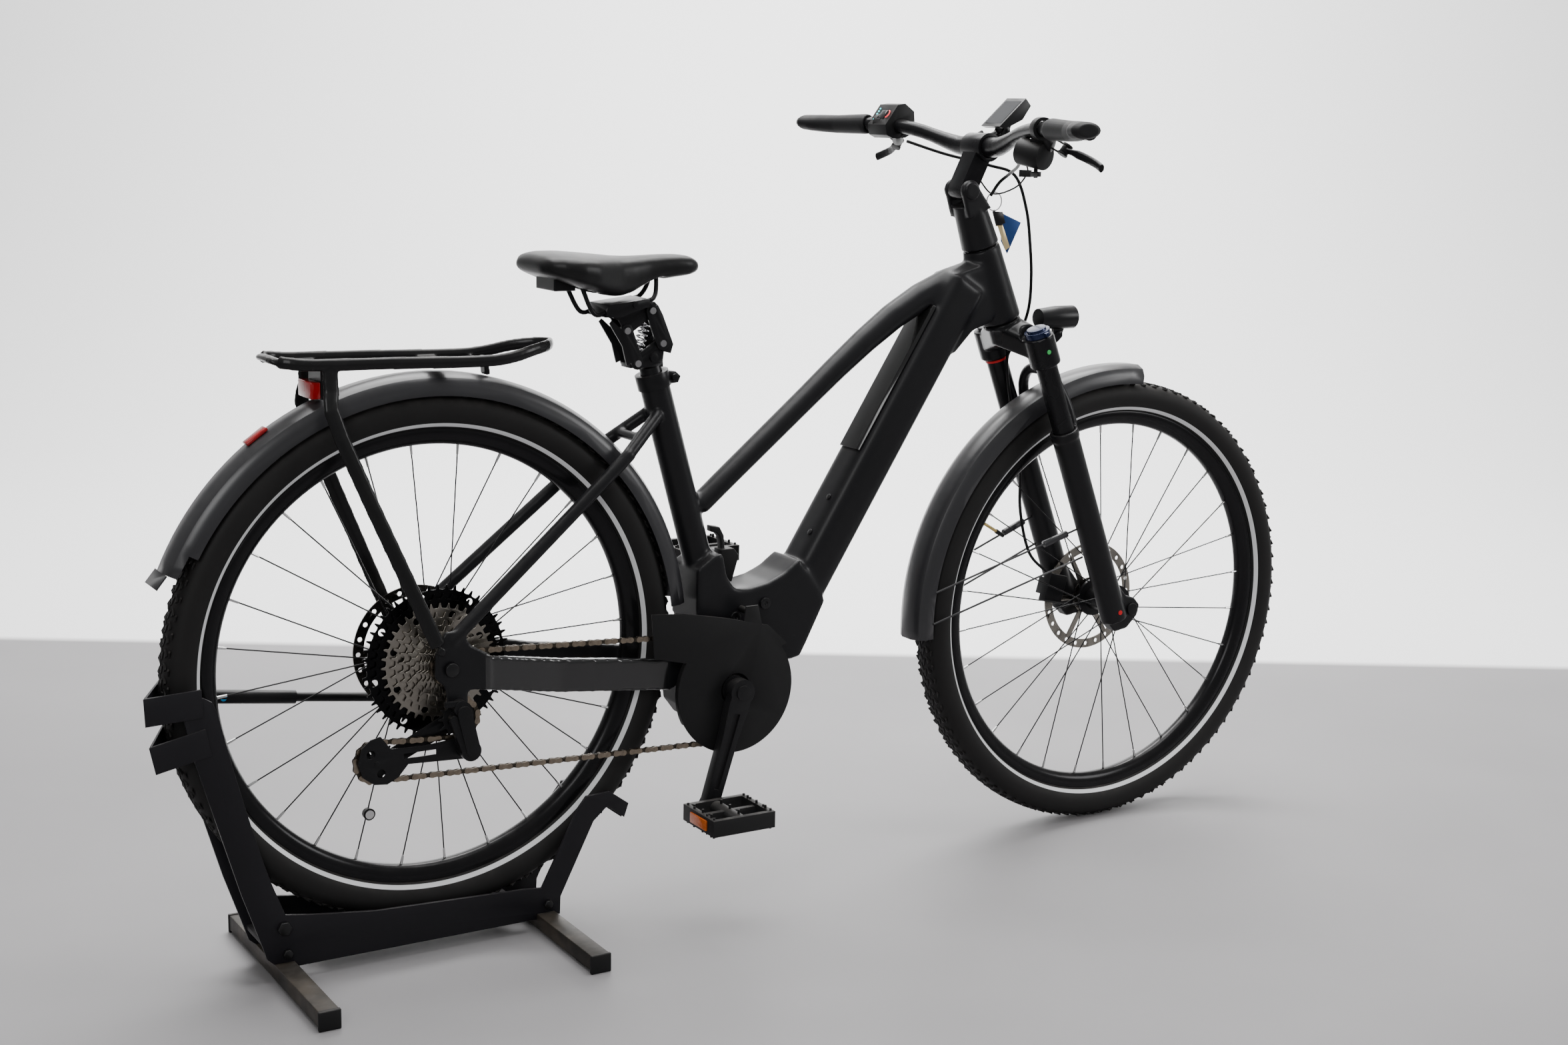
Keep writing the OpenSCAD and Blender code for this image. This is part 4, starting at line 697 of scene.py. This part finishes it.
link_tree, given, result = group_of("links_on_path", [
    ("Geometry", "NodeSocketGeometry", None), ("Path", "NodeSocketObject", None), ("Count", "NodeSocketInt", 100),
    ("Turn Taken", "NodeSocketInt", 0), ("Material", "NodeSocketMaterial", None)],
    [("Geometry", "NodeSocketGeometry")], "GeometryNodeTree")
path_in = link_tree.nodes.new("GeometryNodeObjectInfo")
path_in.transform_space = "RELATIVE"
link_tree.links.new(given.outputs["Path"], path_in.inputs["Object"])
even = link_tree.nodes.new("GeometryNodeResampleCurve")
link_tree.links.new(path_in.outputs["Geometry"], even.inputs["Curve"])
link_tree.links.new(given.outputs["Count"], even.inputs["Count"])
beads = link_tree.nodes.new("GeometryNodeInstanceOnPoints")
link_tree.links.new(even.outputs[0], beads.inputs["Points"])
link_tree.links.new(given.outputs["Geometry"], beads.inputs["Instance"])
index = link_tree.nodes.new("GeometryNodeInputIndex").outputs[0]
odd = calc(link_tree, "MODULO", index, 2.0)
chosen = calc(link_tree, "COMPARE", odd, given.outputs["Turn Taken"], 0.1)
link_tree.links.new(chosen, beads.inputs["Selection"])
facing = link_tree.nodes.new("FunctionNodeAlignRotationToVector")
facing.axis = "X"
facing.pivot_axis = "Y"
link_tree.links.new(link_tree.nodes.new("GeometryNodeInputTangent").outputs[0], facing.inputs["Vector"])
link_tree.links.new(facing.outputs[0], beads.inputs["Rotation"])
real = link_tree.nodes.new("GeometryNodeRealizeInstances")
link_tree.links.new(beads.outputs[0], real.inputs[0])
dressed = link_tree.nodes.new("GeometryNodeSetMaterial")
link_tree.links.new(real.outputs[0], dressed.inputs["Geometry"])
link_tree.links.new(given.outputs["Material"], dressed.inputs["Material"])
link_tree.links.new(dressed.outputs[0], result.inputs[0])


def plate(y0, y1, wide, waist):
    """One waisted chain plate between two pins, lying along X, in metres."""
    outline = []
    for cx, begin in ((PITCH / 2, -110), (-PITCH / 2, 70)):
        for k in range(7):
            a = math.radians(begin + 220 * k / 6)
            outline.append((cx + wide * math.cos(a), wide * math.sin(a)))
        outline.append((0.0, waist if begin < 0 else -waist))
    verts = [Vector((x, y, z)) / 1000 for y in (y0, y1) for x, z in outline]
    n = len(outline)
    faces = [tuple(range(n)), tuple(range(2 * n - 1, n - 1, -1))]
    faces += [(j, n + j, n + (j + 1) % n, (j + 1) % n) for j in range(n)]
    return verts, faces


def shapes_together(*shapes):
    verts, faces = [], []
    for v, f in shapes:
        faces += [tuple(i + len(verts) for i in face) for face in f]
        verts += v
    return verts, faces


half = PITCH / 2000
pins = [rod_mesh(Vector((x, -0.00305, 0)), Vector((x, 0.00305, 0)), 0.0019, 10) for x in (-half, half)]
outer_link = shapes_together(plate(-2.75, -1.95, 4.1, 2.9), plate(1.95, 2.75, 4.1, 2.9), *pins)
rollers = [rod_mesh(Vector((x, -0.0011, 0)), Vector((x, 0.0011, 0)), 0.0038, 10) for x in (-half, half)]
inner_link = shapes_together(plate(-1.85, -1.15, 3.9, 2.6), plate(1.15, 1.85, 3.9, 2.6), *rollers)
for turn_taken, (name, shape, steel) in enumerate((("outer_links", outer_link, chain_steel),
                                                   ("inner_links", inner_link, oiled_steel))):
    links = grown(name + "_run", *shape, link_tree,
                  {"Path": chain_path, "Count": LINKS, "Turn Taken": turn_taken, "Material": steel})
    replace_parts(joined(name, [links], "bicycle_frame"), "chain")
bpy.data.objects.remove(chain_path)

# ---- Sprockets, derailleur and pulleys ----
# Twelve pressed steel sprockets, the two largest black and the rest nickel silver; a black cast derailleur
# with a pressed cage, and two black toothed pulley wheels.
def black_large_sprockets(tree, painted):
    dark = zone(tree, 1, -0.0335, -0.02, 0.0003)
    return blend_colour(tree, dark, painted, (0.01, 0.01, 0.0105, 1))


sprocket_steel = finish_of("sprocket_steel", (0.27, 0.25, 0.22), 0.3, metallic=1.0, roughness_change=0.06,
                           patch_scale=45, colour_change=0.12, extra=black_large_sprockets)
bevelled("cassette", "sprockets", sprocket_steel, 0.00025, 1, "sprocket_stack")
bevelled("derailleur_body", "bicycle_frame", anodised_black, 0.0022, 3, "derailleur_casting")
bevelled("derailleur_cage", "bicycle_frame", anodised_black, 0.0004, 2, "derailleur_cage_plates")
pulley_black = finish_of("pulley_black", (0.012, 0.012, 0.0125), 0.45, dust=0.1)
bevelled("guide_pulley", "guide_wheel", pulley_black, 0.0003, 1, "guide_pulley_wheel")
bevelled("tension_pulley", "tension_wheel", pulley_black, 0.0003, 1, "tension_pulley_wheel")

# ---- Cranks and pedals ----
# Forged aluminium cranks, anodised black, with a steel chain ring behind the guard; cage pedals in black
# plastic with steel studs and amber reflectors.
crank_black = finish_of("crank_black", (0.014, 0.014, 0.015), 0.3, metallic=0.3, dust=0.15)
bevelled("crankset", "cranks", crank_black, 0.0016, 3, "crank_arms")
pedal_black = finish_of("pedal_black", (0.011, 0.011, 0.0115), 0.5, dust=0.3, grain_scale=500, bump=0.3,
                        depth=0.0001)
amber = finish_of("amber_reflector", (0.5, 0.1, 0.01), 0.2, coat=0.6, patch_scale=260, colour_change=0.5)


def block_between(low, high, chamfer=0.001):
    """A box between two corners with all its edges cut back."""
    work = bmesh.new()
    bmesh.ops.create_cube(work, size=1.0)
    for v in work.verts:
        v.co = Vector([low[i] + (v.co[i] + 0.5) * (high[i] - low[i]) for i in range(3)])
    bmesh.ops.bevel(work, geom=work.edges[:], offset=chamfer, segments=2, affect="EDGES", profile=0.6)
    verts = [v.co.copy() for v in work.verts]
    faces = [tuple(v.index for v in f.verts) for f in work.faces]
    work.free()
    return verts, faces


for side, body in (("right", "right_pedal"), ("left", "left_pedal")):
    node = "pedal_" + side
    bevelled(node, body, pedal_black, 0.0009, 2, node + "_cage")
    low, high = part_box(node)
    middle = (low.z + high.z) / 2
    inner, outer = (low.y + 0.016, low.y + 0.070) if side == "right" else (high.y - 0.070, high.y - 0.016)
    studs = []
    for x in (low.x + 0.006, (low.x + high.x) / 2, high.x - 0.006):
        for y in (inner + 0.002, (inner + outer) / 2, outer - 0.002):
            studs.append(rod_mesh(Vector((x, y, low.z - 0.002)), Vector((x, y, high.z + 0.002)), 0.0019, 8))
    piece_from(node + "_studs", *shapes_together(*studs), pedal_black, body, "pedal_black")
    for place_name, x0, x1 in (("rear", low.x - 0.0026, low.x + 0.001), ("front", high.x - 0.001, high.x + 0.0026)):
        piece_from(f"{node}_{place_name}_reflector", *block_between((x0, inner + 0.004, middle - 0.0075),
                   (x1, outer - 0.004, middle + 0.0075), 0.0008), amber, body, "pedal_black")

# ---- Kickstand ----
# Anodised aluminium tube leg with a thicker foot sleeve and a small blue mark, folded up along the stay.
bevelled("kickstand_leg", "kickstand", anodised_black, 0.0009, 2, "kickstand_tube")
blue_mark = finish_of("blue_mark", (0.02, 0.3, 0.62), 0.3, coat=0.3)
spot = at(-268, 54.6, 371.8)
piece_from("kickstand_mark", *rod_mesh(spot, spot + Vector((0, 0.0012, 0)), 0.0042, 24), blue_mark, "kickstand",
           "anodised_black")

# ---- Sprung seat post ----
# Black anodised post with a parallelogram of forged links, pivot bolts and a bright coil spring.
bevelled("seatpost", "post", anodised_black, 0.0007, 2, "seat_pillar")
bevelled("post_rear_link", "rear_link", anodised_black, 0.001, 2, "rear_link_plates")
bevelled("post_front_link", "front_link", anodised_black, 0.001, 2, "front_link_plates")
bevelled("post_head", "saddle_head", anodised_black, 0.0007, 2, "saddle_clamp")
spring_bright = finish_of("spring_bright", (0.62, 0.62, 0.64), 0.16, metallic=1.0)
coil = []
for i in range(281):
    a = i * 2 * math.pi * 6.6 / 280
    t = i / 280
    coil.append(at(318 + 12.6 * t + 6.8 * math.cos(a), 7.1 * math.sin(a), 813 + 44 * t - 2.0 * math.cos(a)))
piece = tube_along("post_coil", coil, 0.00125, spring_bright)
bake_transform(piece)
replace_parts(piece, "post_spring")
pin_steel = finish_of("pin_steel", (0.55, 0.55, 0.56), 0.22, metallic=1.0)
for i, (x, z, body) in enumerate(((309.6, 800.7, "rear_link"), (349.3, 827.5, "front_link"),
                                  (292.8, 847.3, "rear_link"), (332.5, 874.1, "front_link"))):
    for side_name, side in (("right", -1), ("left", 1)):
        a, b = at(x, side * 18.45, z), at(x, side * 20.65, z)
        piece_from(f"post_pivot_{i}_{side_name}", *rod_mesh(a, b, 0.0055, 24, 0.0048), pin_steel, body,
                   "spring_steel")

# ---- Saddle ----
# Foam on a plastic shell, covered in smooth black leather-look material stretched and welded underneath,
# with a raised seam round the top panel. Black steel rails run below.
def leather(tree, painted):
    cells = tree.nodes.new("ShaderNodeTexVoronoi")
    cells.inputs["Scale"].default_value = 900
    tree.links.new(object_place(tree), cells.inputs["Vector"])
    crease = calc(tree, "MULTIPLY", calc(tree, "SUBTRACT", 0.6, cells.outputs["Distance"]), 0.25)
    return blend_colour(tree, calc(tree, "MAXIMUM", crease, 0.0), painted, (0.022, 0.022, 0.023, 1))


saddle_black = finish_of("saddle_black", (0.0085, 0.0085, 0.009), 0.36, dust=0.16, grain_scale=520, bump=0.22,
                         depth=0.00012, roughness_change=0.1, extra=leather)
pad = flowing("saddle", "saddle_head", saddle_black, 0.0026, 22, "saddle_pad", 0.6)
flowing("saddle_rails", "saddle_head", anodised_black, 0.0011, 3, "saddle_rail_wires")

# ---- Fork ----
# Suspension fork: black stanchions in magnesium lowers with an arch, a forged crown, and a blue lockout
# knob on the right. A thin red ring sits on the left leg under the crown.
fork_black = finish_of("fork_black", (0.009, 0.009, 0.01), 0.26, metallic=0.2, dust=0.1)
flowing("fork_upper", "steering", fork_black, 0.0018, 4, "fork_crown")
flowing("fork_lowers", "lower_fork", plain_paint, 0.0019, 5, "fork_legs")
knob_blue = finish_of("knob_blue", (0.012, 0.02, 0.06), 0.25, metallic=0.5, coat=0.2)
bevelled("lockout_knob", "lockout", knob_blue, 0.0012, 3, "lockout_dial")
bevelled("front_brake", "lower_fork", anodised_black, 0.0018, 3, "front_caliper")
STEER_LEAN = math.radians(21.0)
STEER_FOOT = at(1134.6, 0, 366)  # where the steering axis passes the front axle's height
LEG_AHEAD, LEG_BESIDE = 0.016, 0.065


def on_leg(height, side):
    """A place on a fork leg's centre line, in mm up it from the axle's height; side 1 is left and -1 right."""
    forward = Vector((math.cos(STEER_LEAN), 0, math.sin(STEER_LEAN)))
    upward = Vector((-math.sin(STEER_LEAN), 0, math.cos(STEER_LEAN)))
    return STEER_FOOT + forward * LEG_AHEAD + upward * height / 1000 + Vector((0, LEG_BESIDE * side, 0))


ring_red = finish_of("ring_red", (0.6, 0.015, 0.02), 0.35)
piece_from("stanchion_ring", *rod_mesh(on_leg(424.0, 1), on_leg(427.5, 1), 0.0185, 40), ring_red, "steering",
           "fork_black")
mark_green = finish_of("mark_green", (0.05, 0.5, 0.12), 0.35)
spot = on_leg(454.0, -1) + Vector((-0.005, -0.0233, 0))
piece_from("crown_mark", *rod_mesh(spot, spot + Vector((0, -0.0009, 0)), 0.0035, 20), mark_green, "steering",
           "fork_black")
spot = on_leg(-6.0, -1) + Vector((0, -0.0212, 0))
piece_from("dropout_mark", *rod_mesh(spot, spot + Vector((0, -0.0008, 0)), 0.0038, 20), ring_red, "lower_fork",
           "frame_paint")

# ---- Headlight ----
# Black moulded lamp on a wire bracket, with a clear front lens over a bright reflector.
display_black = finish_of("display_black", (0.01, 0.01, 0.011), 0.32, dust=0.1)
bevelled("headlight", "headlamp", display_black, 0.0014, 3, "headlight_shell")
lamp_chrome = finish_of("lamp_chrome", (0.8, 0.8, 0.82), 0.1, metallic=1.0, patch_scale=200)
lamp = at(1091, 0, 838)
REFLECTOR = [(0.4, 0), (9, 1.4), (14.5, 4.0), (15.6, 4.6), (15.6, 1.0), (9, -2), (0.4, -3)]
verts, faces = turned(REFLECTOR, Vector((0, 0, 0)), 48)
face_turn = Matrix.Rotation(math.radians(-90), 3, "Z")
verts = [lamp + face_turn @ v for v in verts]
piece_from("headlight_reflector", verts, faces, lamp_chrome, "headlamp", "display_black")

# ---- Stem, handlebar and grips ----
# An angle-adjustable cast stem clamps a swept aluminium bar; the grips are soft ribbed rubber with a palm
# wing and an end clamp.
flowing("stem_base", "steering", plain_paint, 0.0015, 4, "stem_collar")
bevelled("stem_arm", "cockpit", fork_black, 0.0014, 3, "stem_lever")
flowing("handlebar", "cockpit", fork_black, 0.0016, 6, "bar_tube")
grip_rubber = finish_of("grip_rubber", (0.012, 0.012, 0.013), 0.6, dust=0.15, grain_scale=420, bump=0.45,
                        depth=0.0003)
flowing("grips", "cockpit", grip_rubber, 0.0012, 8, "grip_pair")

# ---- Controls ----
# Brake lever clamps, the shifter pod and the assist remote, all in black moulded plastic and cast metal.
bevelled("controls", "cockpit", drive_plastic, 0.0018, 3, "control_housings")
flowing("brake_lever_left", "left_brake_lever", anodised_black, 0.0008, 4, "left_lever_blade")
flowing("brake_lever_right", "right_brake_lever", anodised_black, 0.0008, 4, "right_lever_blade")
bevelled("shift_lever", "shifter_lever", pulley_black, 0.0012, 2, "shift_paddle")
button_gloss = finish_of("button_gloss", (0.009, 0.009, 0.01), 0.2, coat=0.4)
bevelled("remote_button", "assist_button", button_gloss, 0.0012, 3, "assist_key")


def glowing(name, colour, strength):
    material = finish_of(name, colour, 0.3)
    shader = material.node_tree.nodes["Principled BSDF"]
    shader.inputs["Emission Color"].default_value = (*colour, 1)
    shader.inputs["Emission Strength"].default_value = strength
    return material


cyan_light = glowing("cyan_light", (0.05, 0.75, 0.8), 1.6)
red_light = glowing("red_light", (0.9, 0.05, 0.06), 1.2)
tilt = math.radians(-53.4)
face = Vector((math.sin(tilt), 0, math.cos(tilt)))
along = Vector((math.cos(tilt), 0, -math.sin(tilt)))
key = at(853.5, 194, 1148.5) + face * 0.0001
for i in range(5):
    spot = key + Vector((0, 0.0155, 0)) + along * (0.005 * (i - 2)) + face * 0.0011
    piece_from(f"assist_light_{i}", *rod_mesh(spot, spot + face * 0.0009, 0.0014, 16), cyan_light, "cockpit",
               "drive_plastic")
arch = []
for k in range(13):
    a = math.radians(-90 + 180 * k / 12)
    arch.append(key + face * 0.0019 + Vector((0, -0.0135, 0)) + Vector((0, -0.0045 * math.cos(a), 0))
                + along * 0.0062 * math.sin(a))
red_parts = [rod_mesh(a, b, 0.0009, 8) for a, b in zip(arch, arch[1:])]
piece_from("assist_ring_light", *shapes_together(*red_parts), red_light, "cockpit", "drive_plastic")

# ---- Display ----
# Flat black display on a tilting arm, with a dark glass front.
bevelled("display", "screen", display_black, 0.0016, 3, "display_case")
screen_glass = finish_of("screen_glass", (0.008, 0.01, 0.014), 0.08, coat=0.8)
tilt_up = math.atan2(42.5, 48)
run = Vector((math.cos(tilt_up), 0, math.sin(tilt_up)))
out = Vector((-math.sin(tilt_up), 0, math.cos(tilt_up)))
low_edge = at(920, 0, 1134.5)
verts, faces = [], []
for s, y in ((0.006, -0.0205), (0.058, -0.0205), (0.058, 0.0205), (0.006, 0.0205)):
    verts.append(low_edge + run * s + Vector((0, y, 0)) - out * 0.001)
for s, y in ((0.0068, -0.0197), (0.0572, -0.0197), (0.0572, 0.0197), (0.0068, 0.0197)):
    verts.append(low_edge + run * s + Vector((0, y, 0)) + out * 0.0005)
faces = [(3, 2, 1, 0), (4, 5, 6, 7)] + [(j, (j + 1) % 4, 4 + (j + 1) % 4, 4 + j) for j in range(4)]
piece_from("display_glass", verts, faces, screen_glass, "screen", "display_black")

# ---- Keys ----
# Two brass keys with black heads and a blue tag on a split ring, hung on the display's wire.
def key_colours(tree, painted):
    head = zone(tree, 2, 0.984, 1.0075)
    tag = zone(tree, 1, -0.0003, 0.01, 0.0001)
    ring = zone(tree, 2, 1.0065, 1.06)
    mixed = blend_colour(tree, head, painted, (0.015, 0.015, 0.016, 1))
    mixed = blend_colour(tree, tag, mixed, (0.02, 0.06, 0.2, 1))
    return blend_colour(tree, ring, mixed, (0.55, 0.55, 0.56, 1))


key_brass = finish_of("key_brass", (0.62, 0.5, 0.27), 0.3, metallic=0.35, extra=key_colours)
bevelled("keys", "key_bunch", key_brass, 0.0005, 2, "key_ring_set")

# ---- Floor stand ----
# Cut and bent steel plate, powder-coated satin black, welded to two worn square tubes with plastic plugs.
stand_black = finish_of("stand_black", (0.0095, 0.009, 0.0112), 0.42, dust=0.12, colour_change=0.2, grain_scale=1100,
                        bump=0.2, depth=0.0001, roughness_change=0.1)
bevelled("stand_frame", "stand", stand_black, 0.0009, 2, "stand_plates")


def worn_bar(tree, painted):
    rub = calc(tree, "POWER", noise(tree, object_place(tree), 22.0, 8), 3.0)
    return blend_colour(tree, calc(tree, "MINIMUM", calc(tree, "MULTIPLY", rub, 2.2), 0.6), painted,
                        (0.075, 0.06, 0.045, 1))


bar_steel = finish_of("bar_steel", (0.014, 0.013, 0.0122), 0.42, metallic=0.3, dust=0.25, colour_change=0.35,
                      patch_scale=26, roughness_change=0.15, extra=worn_bar)
bevelled("stand_crossbars", "stand", bar_steel, 0.0016, 3, "stand_bars")
foot_plastic = finish_of("foot_plastic", (0.008, 0.008, 0.0085), 0.55, dust=0.3)
bevelled("stand_feet", "stand", foot_plastic, 0.0016, 2, "stand_plugs")
bevelled("stand_bolts", "stand", fastener_black, 0.001, 2, "stand_nuts")

# ---- Floor and light ----
# Grey floor that turns white a step behind the bicycle and sweeps up into a white backdrop. A wide soft light
# hangs above, and soft panels stand in front, at one side and over the backdrop.
FLOOR_EDGE, SWEEP_WIDTH = 1.32, 14.0
verts = []
sweep_way = [(-9.0, 0.0), (-4.5, 0.0), (0.0, 0.0), (3.2, 0.0)]
sweep_way += [(3.2 + 2.4 * math.sin(math.radians(a)), 2.4 - 2.4 * math.cos(math.radians(a))) for a in range(9, 91, 9)]
sweep_way += [(5.6, 5.0), (5.6, 9.0)]
away, beside = Vector((ahead.x, ahead.y, 0)).normalized(), Vector((ahead.y, -ahead.x, 0)).normalized()
for forward, height in sweep_way:
    for side in (-SWEEP_WIDTH, SWEEP_WIDTH):
        verts.append(away * forward + beside * side + Vector((0, 0, height)))
faces = [(2 * i, 2 * i + 1, 2 * i + 3, 2 * i + 2) for i in range(len(sweep_way) - 1)]
floor_mesh = bpy.data.meshes.new("studio_sweep")
floor_mesh.from_pydata([tuple(v) for v in verts], [], faces)
floor_mesh.polygons.foreach_set("use_smooth", [True] * len(floor_mesh.polygons))
floor = linked("studio_sweep", floor_mesh)
floor_finish = bpy.data.materials.new("studio_floor")
floor_finish.use_nodes = True
tree = floor_finish.node_tree
shader = tree.nodes["Principled BSDF"]
shader.inputs["Roughness"].default_value = 0.55
depth_line = tree.nodes.new("ShaderNodeVectorMath")
depth_line.operation = "DOT_PRODUCT"
tree.links.new(object_place(tree), depth_line.inputs[0])
depth_line.inputs[1].default_value = away
fade = calc(tree, "MINIMUM", calc(tree, "MAXIMUM", calc(tree, "DIVIDE", calc(
    tree, "SUBTRACT", depth_line.outputs["Value"], FLOOR_EDGE), 0.04), 0.0), 1.0)
cloudy = noise(tree, object_place(tree), 1.6, 6)
pale = blend_colour(tree, cloudy, (0.2, 0.195, 0.2, 1), (0.29, 0.28, 0.285, 1))
tree.links.new(blend_colour(tree, fade, pale, (0.94, 0.94, 0.94, 1)), shader.inputs["Base Color"])
floor_mesh.materials.append(floor_finish)

world = bpy.data.worlds.new("studio_air")
world.use_nodes = True
world.node_tree.nodes["Background"].inputs["Color"].default_value = (1, 1, 1, 1)
world.node_tree.nodes["Background"].inputs["Strength"].default_value = 0.35
scene.world = world
PANELS = [  # name, place, what it faces, size, power
    ("top_panel", (0.3, 0.6, 3.6), (0.1, 0.2, 0.3), 3.4, 260),
    ("front_panel", (-3.0, -3.2, 2.6), (0, 0, 0.6), 1.6, 55),
    ("side_panel", (3.2, -2.2, 1.9), (0.4, 0, 0.6), 1.3, 45),
    ("backdrop_light", (1.6, 2.4, 4.2), (2.9, 4.8, 1.0), 3.0, 430)]
for name, spot, aim, size, power in PANELS:
    light = bpy.data.lights.new(name, "AREA")
    light.energy = power
    light.size = size
    panel = linked(name, light)
    facing = (Vector(aim) - Vector(spot)).to_track_quat("-Z", "Y").to_matrix().to_4x4()
    panel.matrix_world = Matrix.Translation(Vector(spot)) @ facing
